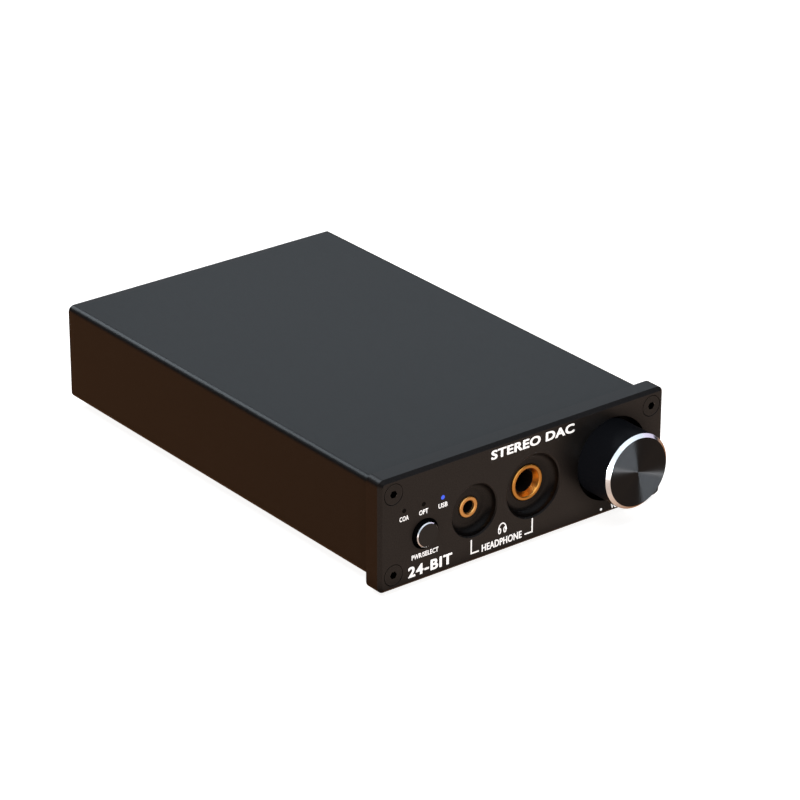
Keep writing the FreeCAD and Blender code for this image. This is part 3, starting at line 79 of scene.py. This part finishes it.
# ---------------------------------------------------------------------------------------------
# Node building
# ---------------------------------------------------------------------------------------------
class Shader:
    """A material under construction: makes nodes, wires them and sets their inputs by name."""

    def __init__(self, name):
        self.material = bpy.data.materials.new(name)
        self.material.use_nodes = True
        self.tree = self.material.node_tree
        self.surface = self.tree.nodes["Principled BSDF"]
        self.place = self.node("ShaderNodeTexCoord").outputs["Object"]

    def node(self, kind, **settings):
        made = self.tree.nodes.new(kind)
        for key, value in settings.items():
            setattr(made, key, value)
        return made

    def feed(self, socket, value):
        if isinstance(value, bpy.types.NodeSocket):
            self.tree.links.new(value, socket)
        else:
            socket.default_value = value

    def set(self, **inputs):
        """Principled inputs, with spaces written as underscores."""
        for key, value in inputs.items():
            self.feed(self.surface.inputs[key.replace("_", " ")], value)

    def maths(self, operation, *values):
        made = self.node("ShaderNodeMath", operation=operation)
        for index, value in enumerate(values):
            self.feed(made.inputs[index], value)
        return made.outputs[0]

    def vector(self, operation, *values):
        made = self.node("ShaderNodeVectorMath", operation=operation)
        for index, value in enumerate(values):
            self.feed(made.inputs[index], value)
        return made.outputs[1] if operation in ("LENGTH", "DOT_PRODUCT") else made.outputs[0]

    def noise(self, size, detail=2.0, stretch=(1, 1, 1)):
        """Noise whose features measure about size, in metres."""
        spread = self.node("ShaderNodeMapping")
        self.feed(spread.inputs["Vector"], self.place)
        spread.inputs["Scale"].default_value = stretch
        made = self.node("ShaderNodeTexNoise")
        self.feed(made.inputs["Vector"], spread.outputs[0])
        made.inputs["Scale"].default_value = 1 / size
        made.inputs["Detail"].default_value = detail
        return made.outputs["Fac"]

    def remap(self, value, low, high, from_low=0.3, from_high=0.7):
        made = self.node("ShaderNodeMapRange")
        made.inputs["From Min"].default_value = from_low
        made.inputs["From Max"].default_value = from_high
        made.inputs["To Min"].default_value = low
        made.inputs["To Max"].default_value = high
        self.feed(made.inputs["Value"], value)
        return made.outputs[0]

    def mix(self, factor, one, other):
        made = self.node("ShaderNodeMix", data_type="RGBA")
        self.feed(made.inputs[0], factor)
        self.feed(made.inputs[6], one)
        self.feed(made.inputs[7], other)
        return made.outputs[2]

    def bump(self, height, distance, strength=1.0, onto=None):
        made = self.node("ShaderNodeBump")
        made.inputs["Strength"].default_value = strength
        made.inputs["Distance"].default_value = distance
        self.feed(made.inputs["Height"], height)
        if onto is not None:
            self.feed(made.inputs["Normal"], onto)
        return made.outputs[0]

    def edges(self, radius):
        """About 0 on flats and 1 on convex or concave edges narrower than radius."""
        soft = self.node("ShaderNodeBevel", samples=4)
        soft.inputs["Radius"].default_value = radius
        hard = self.node("ShaderNodeNewGeometry").outputs["Normal"]
        alike = self.vector("DOT_PRODUCT", soft.outputs[0], hard)
        return self.remap(alike, 1.0, 0.0, 0.9, 1.0)

    def painted_hollow_shade(self, reach):
        """Painted shade: 1 on open faces, falling towards 0 in hollows narrower than reach."""
        hollow = self.node("ShaderNodeAmbientOcclusion", samples=8)
        hollow.inputs["Distance"].default_value = reach
        return self.remap(hollow.outputs["AO"], 0.05, 1.0, 0.4, 0.95)


def rgb(red, green, blue):
    return (red, green, blue, 1.0)


# ---------------------------------------------------------------------------------------------
# Materials
# ---------------------------------------------------------------------------------------------
def anodised(name, colour, pale, roughness, grain_size=0.34 * MM):
    """Bead-blasted aluminium, black anodised: fine grain, cloudy depth, edges worn a little paler, and
    painted shade in its hollows.
    """
    made = Shader(name)
    cloud = made.noise(34 * MM, 3.0)
    grain = made.noise(grain_size, 2.0)
    tone = made.mix(made.remap(cloud, 0.0, 1.0), rgb(*colour), rgb(*[1.2 * part for part in colour]))
    speckled = made.mix(made.remap(grain, 0.0, 0.7), tone, rgb(*[3.2 * part for part in colour]))
    worn = made.mix(made.maths("MULTIPLY", made.edges(0.3 * MM), 0.12), speckled, rgb(*pale))
    # Painted shade: colour and sheen are darkened in hollows, as though shaded there.
    sky = made.painted_hollow_shade(7 * MM)
    made.set(Base_Color=made.mix(sky, rgb(0, 0, 0), worn))
    made.set(Metallic=0.25, Roughness=made.remap(grain, roughness - 0.05, roughness + 0.06))
    made.set(Specular_IOR_Level=made.maths("MULTIPLY", 0.5, sky))
    made.set(Normal=made.bump(grain, 0.010 * MM, 0.6))
    return made.material


def turned_metal(name, node, face, chamfer, side, grain_size, swirl):
    """Turned and black anodised, with a chamfer polished bare between its face and its side.

    swirl is how strongly the face gathers light into rays round its axis, as fine turning marks do."""
    made = Shader(name)
    axis = middle(node)
    away = made.vector("SUBTRACT", made.place, (axis.x, 0.0, axis.z))
    flat = made.vector("MULTIPLY", away, (1.0, 0.0, 1.0))
    normal = made.node("ShaderNodeNewGeometry").outputs["True Normal"]
    facing = made.maths("ABSOLUTE", made.vector("DOT_PRODUCT", normal, (0.0, 1.0, 0.0)))
    on_face = made.maths("GREATER_THAN", facing, 0.9)
    on_side = made.maths("LESS_THAN", facing, 0.3)
    polished = made.maths("SUBTRACT", 1.0, made.maths("MAXIMUM", on_face, on_side))
    rings = made.node("ShaderNodeTexNoise", noise_dimensions="1D")
    made.feed(rings.inputs["W"], made.maths("MULTIPLY", made.vector("LENGTH", flat), 1 / grain_size))
    rings.inputs["Scale"].default_value = 1.0
    rings.inputs["Detail"].default_value = 3.0
    ringed = made.mix(rings.outputs["Fac"], rgb(*face), rgb(*[1.9 * part for part in face]))
    sided = made.mix(made.noise(0.3 * MM), rgb(*side), rgb(*[1.8 * part for part in side]))
    made.set(Base_Color=made.mix(polished, made.mix(on_side, ringed, sided), rgb(*chamfer)))
    made.set(Metallic=made.maths("MAXIMUM", made.maths("MULTIPLY", on_face, swirl), polished))
    rough = made.maths("ADD", made.maths("MULTIPLY", on_face, 0.36), made.maths("MULTIPLY", on_side, 0.38))
    made.set(Roughness=made.maths("ADD", rough, made.maths("MULTIPLY", polished, 0.16)))
    made.set(Specular_IOR_Level=made.maths("SUBTRACT", 0.4, made.maths("MULTIPLY", on_side, 0.36)))
    made.set(Anisotropic=made.maths("MULTIPLY", on_face, swirl))
    made.set(Tangent=made.vector("NORMALIZE", flat))
    made.set(Normal=made.bump(rings.outputs["Fac"], 0.002 * MM, 0.3))
    return made.material


def plated(name, colour, roughness, grain=1.6 * MM):
    """Plated metal: smooth, with slow changes of tone and polish."""
    made = Shader(name)
    mottle = made.noise(grain, 2.0)
    made.set(Base_Color=made.mix(mottle, rgb(*colour), rgb(*[0.88 * part for part in colour])))
    made.set(Metallic=1.0, Roughness=made.remap(mottle, roughness * 0.85, roughness * 1.15))
    made.set(Normal=made.bump(mottle, 0.002 * MM, 0.15))
    return made.material


def ring_gold(name, node, bright_depth, colour):
    """Gold plate that gives way to painted shade, a near-black bore, from bright_depth behind the front of
    the ring.
    """
    made = Shader(name)
    mottle = made.noise(1.6 * MM, 2.0)
    along = made.node("ShaderNodeSeparateXYZ")
    made.feed(along.inputs[0], made.place)
    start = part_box(node)[0].y + bright_depth
    # Painted shade: beyond bright_depth the bore goes near black and stops being metallic.
    painted_bore_shade = made.remap(along.outputs["Y"], 0.0, 1.0, start, start + 0.5 * MM)
    duller = rgb(*[0.88 * part for part in colour])
    gold = made.mix(mottle, rgb(*colour), duller)
    made.set(Base_Color=made.mix(painted_bore_shade, gold, rgb(0.006, 0.005, 0.005)))
    made.set(Metallic=made.maths("SUBTRACT", 1.0, painted_bore_shade), Roughness=made.remap(mottle, 0.27, 0.36))
    made.set(Normal=made.bump(mottle, 0.002 * MM, 0.15))
    return made.material


def moulded(name, colour, roughness, grain=0.3 * MM):
    made = Shader(name)
    texture = made.noise(grain, 3.0)
    cloud = made.noise(9 * MM)
    made.set(Base_Color=made.mix(cloud, rgb(*colour), rgb(*[0.86 * part for part in colour])))
    made.set(Roughness=made.remap(texture, roughness - 0.05, roughness + 0.08))
    made.set(Normal=made.bump(texture, 0.01 * MM, 0.5))
    return made.material


def guide_material(name, glow):
    """Clear plastic, lit blue in the third indicator only."""
    made = Shader(name)
    across = made.node("ShaderNodeSeparateXYZ")
    made.feed(across.inputs[0], made.place)
    lit = made.maths("GREATER_THAN", across.outputs["X"], LIT_X - LED_PITCH / 2)
    cloud = made.noise(0.5 * MM)
    made.set(Base_Color=made.mix(cloud, rgb(0.002, 0.002, 0.002), rgb(0.004, 0.004, 0.004)))
    made.set(Roughness=0.5, Specular_IOR_Level=0.1, Emission_Color=rgb(0.07, 0.13, 0.80))
    made.set(Emission_Strength=made.maths("MULTIPLY", lit, glow))
    return made.material


def ink(name):
    """Screen-printed white ink, a little uneven, with a painted glow that keeps it bright."""
    made = Shader(name)
    patch = made.noise(0.5 * MM, 3.0)
    made.set(Base_Color=made.mix(patch, rgb(0.95, 0.95, 0.95), rgb(0.85, 0.85, 0.85)), Roughness=0.55)
    # Painted light: the ink glows as if lit.
    made.set(Emission_Color=rgb(1.0, 1.0, 0.99), Emission_Strength=0.85)
    made.set(Normal=made.bump(patch, 0.006 * MM, 0.4))
    return made.material


PANEL_BLACK = anodised("panel_anodised", (0.011, 0.0095, 0.009), (0.09, 0.09, 0.09), 0.34)
SLEEVE_BLACK = anodised("sleeve_anodised", (0.009, 0.009, 0.009), (0.10, 0.11, 0.12), 0.34)
KNOB_METAL = turned_metal("turned_knob", "volume_knob", (0.0175, 0.0175, 0.018), (0.92, 0.93, 0.95),
                          (0.0015, 0.0015, 0.0018), 0.16 * MM, 1.0)
BUTTON_METAL = turned_metal("turned_button", "select_button", (0.010, 0.0085, 0.008), (0.88, 0.88, 0.90),
                            (0.004, 0.004, 0.004), 0.3 * MM, 0.0)
BLACK_STEEL = anodised("black_oxide", (0.010, 0.0088, 0.0083), (0.30, 0.30, 0.30), 0.36)
BRIGHT_STEEL = plated("nickel", (0.62, 0.61, 0.58), 0.24)
TINNED = plated("tinned", (0.72, 0.72, 0.70), 0.32)
GOLD = plated("gold_plate", (1.0, 0.52, 0.17), 0.32)
SMALL_RING = ring_gold("small_ring_gold", "small_jack_bushing", 0.35 * MM, (1.0, 0.52, 0.17))
# Painted shade: the large ring takes a darker, deeper copy of the same gold plate.
LARGE_RING = ring_gold("large_ring_gold", "large_jack_bushing", 2.2 * MM, (0.82, 0.38, 0.085))
BRONZE = plated("spring_bronze", (0.72, 0.46, 0.22), 0.28)
BLACK_PLASTIC = moulded("black_moulding", (0.018, 0.018, 0.019), 0.5)
GREY_PLASTIC = moulded("grey_moulding", (0.10, 0.10, 0.11), 0.5)
WHITE_PLASTIC = moulded("white_moulding", (0.80, 0.79, 0.76), 0.38)
RED_PLASTIC = moulded("red_moulding", (0.55, 0.02, 0.02), 0.35)
ORANGE_PLASTIC = moulded("orange_moulding", (0.80, 0.24, 0.02), 0.35)
RELAY_PLASTIC = moulded("relay_moulding", (0.70, 0.28, 0.06), 0.3)
RUBBER = moulded("foot_rubber", (0.020, 0.020, 0.020), 0.75, 0.5 * MM)
EPOXY = moulded("chip_epoxy", (0.025, 0.025, 0.027), 0.55, 0.12 * MM)
CAN_SLEEVE = moulded("capacitor_sleeve", (0.02, 0.02, 0.05), 0.3)
FILM_RED = moulded("film_capacitor", (0.50, 0.05, 0.03), 0.3)
FERRITE = moulded("ferrite", (0.05, 0.05, 0.052), 0.7, 0.2 * MM)
BOARD = moulded("solder_mask", (0.01, 0.10, 0.04), 0.3, 0.8 * MM)
GUIDE = guide_material("light_guide", 1.2)
LED = guide_material("led_lens", 1.2)
INK = ink("white_ink")

NODES_BY_MATERIAL = (
    (PANEL_BLACK, ("front_panel", "rear_panel")),
    (SLEEVE_BLACK, ("housing_sleeve",)),
    (BLACK_STEEL, ("front_panel_screws", "rear_panel_screws", "knob_grub_screw")),
    (RUBBER, ("rubber_feet",)),
    (KNOB_METAL, ("volume_knob",)),
    (BUTTON_METAL, ("select_button",)),
    (SMALL_RING, ("small_jack_bushing",)),
    (LARGE_RING, ("large_jack_bushing",)),
    (GOLD, ("usb_socket_contacts", "round_socket_shells")),
    (BRONZE, ("small_jack_contacts", "large_jack_contacts", "round_socket_contacts")),
    (GUIDE, ("light_guides",)),
    (LED, ("indicator_leds",)),
    (GREY_PLASTIC, ("optical_detector", "optical_socket_shutter")),
    (TINNED, ("led_leads", "switch_pins", "potentiometer_pins", "dc_socket_pins", "round_socket_pins",
              "regulator_lead_frames")),
    (BRIGHT_STEEL, ("potentiometer_shaft", "potentiometer_housing", "potentiometer_washer",
                    "potentiometer_nut", "dc_socket_centre_pin", "usb_socket_shell", "crystals")),
    (BLACK_PLASTIC, ("small_jack_housing", "large_jack_housing", "led_holder", "switch_plunger",
                     "switch_housing", "dc_socket_housing", "optical_socket_housing",
                     "round_socket_housings", "op_amp_sockets")),
    (WHITE_PLASTIC, ("usb_socket_insert", "left_output_insulator")),
    (RED_PLASTIC, ("right_output_insulator",)),
    (ORANGE_PLASTIC, ("coaxial_socket_insulator",)),
    (EPOXY, ("dac_chip", "digital_receiver_chip", "usb_receiver_chip", "headphone_amplifier_chip",
             "op_amps", "voltage_regulators", "chip_resistors")),
    (CAN_SLEEVE, ("supply_capacitors", "small_capacitors")),
    (FILM_RED, ("film_capacitors",)),
    (RELAY_PLASTIC, ("output_relay",)),
    (FERRITE, ("power_inductors",)),
    (BOARD, ("circuit_board",)),
)
MATERIAL_OF = {name: material for material, names in NODES_BY_MATERIAL for name in names}


def dress_cad():
    """Each CAD node keeps its shape and gets its material, smooth round walls and clean flat faces."""
    for name, thing in NODES.items():
        thing.data.materials.clear()
        thing.data.materials.append(MATERIAL_OF[name])
        for polygon in thing.data.polygons:
            polygon.use_smooth = True
        thing.data.set_sharp_from_angle(angle=math.radians(28))
        thing.modifiers.new("weighted", "WEIGHTED_NORMAL").keep_sharp = True


# ---------------------------------------------------------------------------------------------
# Printed legends
# ---------------------------------------------------------------------------------------------
INK_DEPTH = 0.02 * MM
FRONT_TURN = Matrix.Rotation(math.radians(90), 4, "X")
REAR_TURN = Matrix.Rotation(math.radians(180), 4, "Z") @ FRONT_TURN


def lettering(text, height, width=None, weight=0.0, spacing=1.06):
    """A mesh of the text in the XY plane, centred, of a given capital height and, if asked, width.

    weight thickens every stroke by that many metres: copies stand round the first, each a hair lower."""
    curve = bpy.data.curves.new("legend", "FONT")
    curve.body = text
    curve.offset = 0.012
    curve.extrude = 0.5
    curve.resolution_u = 4
    curve.space_character = spacing
    holder = bpy.data.objects.new("legend", curve)
    bpy.context.scene.collection.objects.link(holder)
    bpy.context.view_layer.update()
    mesh = bpy.data.meshes.new_from_object(holder.evaluated_get(bpy.context.evaluated_depsgraph_get()))
    bpy.data.objects.remove(holder)
    across = [vertex.co.x for vertex in mesh.vertices]
    along = [vertex.co.y for vertex in mesh.vertices]
    scale_y = (height - weight / 2) / (max(along) - min(along))
    scale_x = (width - weight) / (max(across) - min(across)) if width else scale_y
    centre = Vector(((max(across) + min(across)) / 2, (max(along) + min(along)) / 2, 0))
    mesh.transform(Matrix.Translation(-centre))
    mesh.transform(Matrix.Diagonal((scale_x, scale_y, INK_DEPTH, 1)))
    if not weight:
        return mesh
    glyphs = bmesh.new()
    for index, (right, up) in enumerate(((-1, -1), (-1, 1), (1, -1), (1, 1))):
        start = len(glyphs.verts)
        glyphs.from_mesh(mesh)
        glyphs.verts.ensure_lookup_table()
        step = Vector((right * weight / 2, up * weight / 4, -index * INK_DEPTH / 16))
        for vertex in glyphs.verts[start:]:
            vertex.co += step
    glyphs.to_mesh(mesh)
    glyphs.free()
    return mesh


def ribbon(points, width, closed=False):
    """A printed line of constant width through points in the XY plane, mitred at the corners."""
    count = len(points)
    knots = [Vector((x, y, 0)) for x, y in points]
    vertices, faces = [], []
    for index, knot in enumerate(knots):
        before = knots[index - 1] if index or closed else None
        after = knots[(index + 1) % count] if index < count - 1 or closed else None
        inward = (knot - before).normalized() if before is not None else (after - knot).normalized()
        outward = (after - knot).normalized() if after is not None else inward
        tangent = (inward + outward).normalized()
        side = Vector((-tangent.y, tangent.x, 0))
        reach = width / 2 / max(0.2, side.dot(Vector((-inward.y, inward.x, 0))))
        for sign in (-1, 1):
            for level in (-0.5, 0.5):
                vertices.append(knot + sign * reach * side + Vector((0, 0, level * INK_DEPTH)))
    laps = count if closed else count - 1
    for index in range(laps):
        here, there = 4 * index, 4 * ((index + 1) % count)
        for one, two in ((0, 1), (1, 3), (3, 2), (2, 0)):
            faces.append((here + one, there + one, there + two, here + two))
    if not closed:
        last = 4 * (count - 1)
        faces.append((0, 1, 3, 2))
        faces.append((last, last + 2, last + 3, last + 1))
    mesh = bpy.data.meshes.new("ribbon")
    mesh.from_pydata(vertices, [], faces)
    return mesh


def disc(radius):
    turns = [math.tau * step / 32 for step in range(32)]
    rim = [(radius * math.cos(turn), radius * math.sin(turn)) for turn in turns]
    vertices = [(x, y, level * INK_DEPTH) for level in (-0.5, 0.5) for x, y in rim]
    faces = [tuple(range(31, -1, -1)), tuple(range(32, 64))]
    faces += [(step, (step + 1) % 32, 32 + (step + 1) % 32, 32 + step) for step in range(32)]
    mesh = bpy.data.meshes.new("disc")
    mesh.from_pydata(vertices, [], faces)
    return mesh


def printed(name, meshes, turn, y):
    """One piece of ink on a face at depth y; each mesh comes with its x and z."""
    piece = bpy.data.meshes.new(name)
    vertices, faces = [], []
    for mesh, x, z in meshes:
        start = len(vertices)
        place = Matrix.Translation((x, y, z)) @ turn
        vertices += [place @ vertex.co for vertex in mesh.vertices]
        faces += [tuple(start + index for index in polygon.vertices) for polygon in mesh.polygons]
    piece.from_pydata(vertices, [], faces)
    piece.materials.append(INK)
    thing = bpy.data.objects.new(name, piece)
    bpy.context.scene.collection.objects.link(thing)
    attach(thing, "case")
    return thing


def ring_of_points(across, along, first=0, last=360, step=20):
    """Points round an ellipse, anticlockwise, between two angles in degrees."""
    turns = [math.radians(turn) for turn in range(first, last, step)]
    return [(across * math.cos(turn), along * math.sin(turn)) for turn in turns]


def headphone_sign(height):
    """A headband over two looped ear cups."""
    line = 0.115 * height
    band = ribbon(ring_of_points(0.44 * height, 0.60 * height, -8, 189), line)
    cup = ribbon(ring_of_points(0.13 * height, 0.25 * height), line, closed=True)
    cup_x, cup_z = 0.31 * height, -0.24 * height
    return [(band, 0, -0.12 * height), (cup, -cup_x, cup_z), (cup, cup_x, cup_z)]


def front_legends():
    low = panel_low.z
    items = [(lettering("STEREO DAC", 2.7 * MM, 28.4 * MM, 0.21 * MM), 2.5 * MM, low + 29.4 * MM),
             (lettering("24-BIT", 3.1 * MM, 14.6 * MM, 0.22 * MM, 1.15), -31.8 * MM, low + 3.7 * MM)]
    small, weight = 1.4 * MM, 0.04 * MM
    for step, text in zip((-1, 0, 1), ("COA", "OPT", "USB")):
        x = LED_MID_X + step * LED_PITCH
        items.append((lettering(text, small, 3.0 * MM, weight), x, LED_Z - 2.2 * MM))
    items.append((lettering("PWR/SELECT", small, 8.8 * MM, weight), BUTTON.x, BUTTON.z - 5.9 * MM))
    items.append((lettering("HEADPHONE", 2.1 * MM, 13.6 * MM, 0.07 * MM), -7.7 * MM, low + 3.2 * MM))
    for x, side in ((SMALL_JACK.x - 1.05 * MM, 1), (LARGE_JACK.x - 0.2 * MM, -1)):
        corner = [(0, 4.0 * MM), (0, 0), (side * 2.6 * MM, 0)]
        items.append((ribbon(corner, 0.42 * MM), x, low + 2.8 * MM))
    sign_z = low + 7.1 * MM
    items += [(mesh, -7.6 * MM + x, sign_z + z) for mesh, x, z in headphone_sign(2.9 * MM)]
    items.append((disc(0.36 * MM), KNOB.x - 3.4 * MM, low + 1.95 * MM))
    items.append((lettering("VOLUME", small, 6.4 * MM, weight), KNOB.x + 3.3 * MM, low + 1.8 * MM))
    printed("front_print", items, FRONT_TURN, FACE_Y - INK_DEPTH / 2)


def rear_legends():
    """A plain name under each rear connector, read from behind."""
    low = rear_low.z
    names = {
        "dc_socket_housing": "DC 12V",
        "usb_socket_shell": "USB",
        "optical_socket_housing": "OPT",
        "coaxial_socket_insulator": "COAX",
        "left_output_insulator": "L",
        "right_output_insulator": "R",
    }
    height, weight = 1.5 * MM, 0.1 * MM
    items = [(lettering(text, height, None, weight), middle(node).x, low + 3.6 * MM)
             for node, text in names.items()]
    between = (middle("left_output_insulator").x + middle("right_output_insulator").x) / 2
    items.append((lettering("LINE OUT", height, None, weight), between, rear_high.z - 4.0 * MM))
    printed("rear_print", items, REAR_TURN, REAR_Y + INK_DEPTH / 2)


# ---------------------------------------------------------------------------------------------
# Studio
# ---------------------------------------------------------------------------------------------
AZIMUTH, ELEVATION, ROLL = math.radians(-38.04), math.radians(25.0), math.radians(0.175)
TO_CAMERA = Vector((math.sin(AZIMUTH) * math.cos(ELEVATION), -math.cos(AZIMUTH) * math.cos(ELEVATION),
                    math.sin(ELEVATION)))
CAMERA_DISTANCE = 0.947
CAMERA_LENS = 165.05
AIM_RIGHT, AIM_UP = 5.3 * MM, 50.7 * MM
COOL, CLEAR = (0.82, 0.92, 1.0), (0.95, 0.98, 1.0)
VIOLET, PEACH = (0.86, 0.78, 1.0), (1.0, 0.60, 0.33)


def camera():
    """The camera looks past the near lower corner of the front panel."""
    turn = (-TO_CAMERA).to_track_quat("-Z", "Y") @ Matrix.Rotation(ROLL, 3, "Z").to_quaternion()
    right, up = turn @ Vector((1, 0, 0)), turn @ Vector((0, 1, 0))
    aim = panel_low + AIM_RIGHT * right + AIM_UP * up
    lens = bpy.data.cameras.new("camera")
    lens.lens = CAMERA_LENS
    lens.clip_start = 0.01
    thing = bpy.data.objects.new("camera", lens)
    bpy.context.scene.collection.objects.link(thing)
    thing.rotation_mode = "QUATERNION"
    thing.rotation_quaternion = turn
    thing.location = aim + CAMERA_DISTANCE * TO_CAMERA
    bpy.context.scene.camera = thing


def gather(name, things):
    """A collection outside the scene, for choosing what a light falls on."""
    chosen = bpy.data.collections.new(name)
    for thing in things:
        chosen.objects.link(thing)
    return chosen


def softbox(name, place, aim, width, height, power, colour=(1, 1, 1), onto=None, blocked_by=None):
    """A rectangular soft light, kept to the objects of one collection and shadowed by those of another."""
    lamp = bpy.data.lights.new(name, "AREA")
    lamp.shape = "RECTANGLE"
    lamp.size = width
    lamp.size_y = height
    lamp.energy = power
    lamp.color = colour
    thing = bpy.data.objects.new(name, lamp)
    bpy.context.scene.collection.objects.link(thing)
    thing.location = place
    thing.rotation_mode = "QUATERNION"
    thing.rotation_quaternion = (Vector(aim) - Vector(place)).to_track_quat("-Z", "Y")
    thing.light_linking.receiver_collection = onto
    thing.light_linking.blocker_collection = blocked_by


def backdrop():
    """A pale floor that looks brighter than it shines back, as the studio round it is darker and warmer."""
    reach = 3.0
    floor = bpy.data.meshes.new("floor")
    corners = [(-reach, -reach, 0), (reach, -reach, 0), (reach, reach, 0), (-reach, reach, 0)]
    floor.from_pydata(corners, [], [(0, 1, 2, 3)])
    made = Shader("pale_floor")
    grain = made.noise(2 * MM)
    pale = made.mix(grain, rgb(0.40, 0.40, 0.40), rgb(0.43, 0.43, 0.43))
    seen = made.node("ShaderNodeLightPath").outputs["Is Camera Ray"]
    along = made.node("ShaderNodeSeparateXYZ")
    made.feed(along.inputs[0], made.place)
    behind = made.remap(along.outputs["Y"], 0.0, 1.0, -0.25, 0.25)
    warm = made.mix(behind, rgb(0.58, 0.46, 0.375), rgb(0.42, 0.18, 0.065))
    made.set(Base_Color=made.mix(seen, warm, pale), Roughness=0.9)
    made.set(Emission_Color=rgb(1.0, 0.99, 0.98), Emission_Strength=made.maths("MULTIPLY", seen, 0.93))
    floor.materials.append(made.material)
    thing = bpy.data.objects.new("floor", floor)
    bpy.context.scene.collection.objects.link(thing)
    thing.visible_glossy = False
    thing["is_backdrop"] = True
    return thing


class Sky(Shader):
    """The world under construction; its coordinate is the direction looked in."""

    def __init__(self):
        world = bpy.data.worlds.new("world")
        world.use_nodes = True
        bpy.context.scene.world = world
        self.tree = world.node_tree
        self.surface = self.tree.nodes["Background"]
        self.place = self.node("ShaderNodeTexCoord").outputs["Generated"]


def surroundings():
    """Cool light overhead fading to a dim horizon, and a warm ground that is paler in front."""
    sky = Sky()
    looking = sky.node("ShaderNodeSeparateXYZ")
    sky.feed(looking.inputs[0], sky.place)
    height = sky.remap(looking.outputs["Z"], 0.04, 0.50, 0.25, 1.0)
    overhead = sky.vector("SCALE", (0.86, 0.912, 1.01))
    sky.feed(overhead.node.inputs["Scale"], height)
    behind = sky.remap(looking.outputs["Y"], 0.0, 1.0, -0.4, 0.4)
    ground = sky.mix(behind, rgb(0.62, 0.485, 0.405), rgb(0.35, 0.155, 0.065))
    below = sky.remap(looking.outputs["Z"], 0.0, 1.0, 0.0, -0.08)
    sky.set(Color=sky.mix(below, overhead, ground), Strength=1.0)


def studio():
    surroundings()
    floor = backdrop()
    stage = gather("lit_floor", [floor])
    subject = gather("subject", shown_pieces())
    polished = gather("polished", [NODES["volume_knob"], NODES["select_button"]])
    knob = gather("knob", [NODES["volume_knob"]])
    gold = gather("gold", [NODES["small_jack_bushing"], NODES["large_jack_bushing"]])
    nothing = gather("nothing", [])
    softbox("overhead", (0, 0.1, 1.1), (0, 0, 0), 1.6, 1.6, 20.0, onto=stage)
    top_spot = Vector((-10 * MM, panel_low.y + 37 * MM, sleeve_high.z))
    over_top = top_spot + 0.6 * Vector((-TO_CAMERA.x, -TO_CAMERA.y, TO_CAMERA.z))
    softbox("back_top", over_top, top_spot, 0.35, 0.25, 0.17, COOL, subject)
    softbox("back_edge", (-0.10, 0.80, 0.70), (0, 0, 0.03), 0.6, 0.35, 2.4, COOL, subject)

    centre = Vector((KNOB.x, FACE_Y, KNOB.z))

    def glint(name, turn, tilt, width, height, power, colour, onto=knob, blocked_by=nothing):
        """A light a metre off, where a facet of the knob mirrors it to the camera.

        The facet lies turn degrees round the axis from +X and leans tilt degrees off the flat face."""
        turn, tilt = math.radians(turn), math.radians(tilt)
        facet = Vector((math.sin(tilt) * math.cos(turn), -math.cos(tilt), math.sin(tilt) * math.sin(turn)))
        place = centre + 2 * facet.dot(TO_CAMERA) * facet - TO_CAMERA
        softbox(name, place, centre, width, height, power, colour, onto, blocked_by)
    glint("chamfer_top", 102, 45, 1.2, 0.6, 1.6, COOL, polished)
    glint("chamfer_left", 143, 45, 0.8, 0.9, 1.5, COOL, polished)
    glint("chamfer_white", 168, 45, 0.42, 0.36, 0.45, CLEAR, polished)
    glint("chamfer_tint", 66, 45, 0.55, 0.45, 0.6, VIOLET, polished)
    glint("chamfer_floor", 215, 45, 0.7, 0.6, 0.14, PEACH, polished)
    for turn in (104, 116, 128, 140, 152):
        glint(f"ray_{turn}", turn, 31, 0.22, 0.22, 10.0, COOL)
    glint("ray_line", 160, 40, 0.22, 0.04, 24.0, CLEAR)
    softbox("gold_glow", centre + Vector((-0.35, -0.85, 0.35)), centre, 1.5, 1.2, 6.4, CLEAR, gold,
            nothing)
    softbox("gold_glint", centre + Vector((-0.62, -0.21, 0.76)), centre, 0.5, 0.5, 2.0,
            CLEAR, gold, nothing)
    bpy.context.scene.view_settings.view_transform = "Standard"


dress_cad()
front_legends()
rear_legends()
camera()
studio()
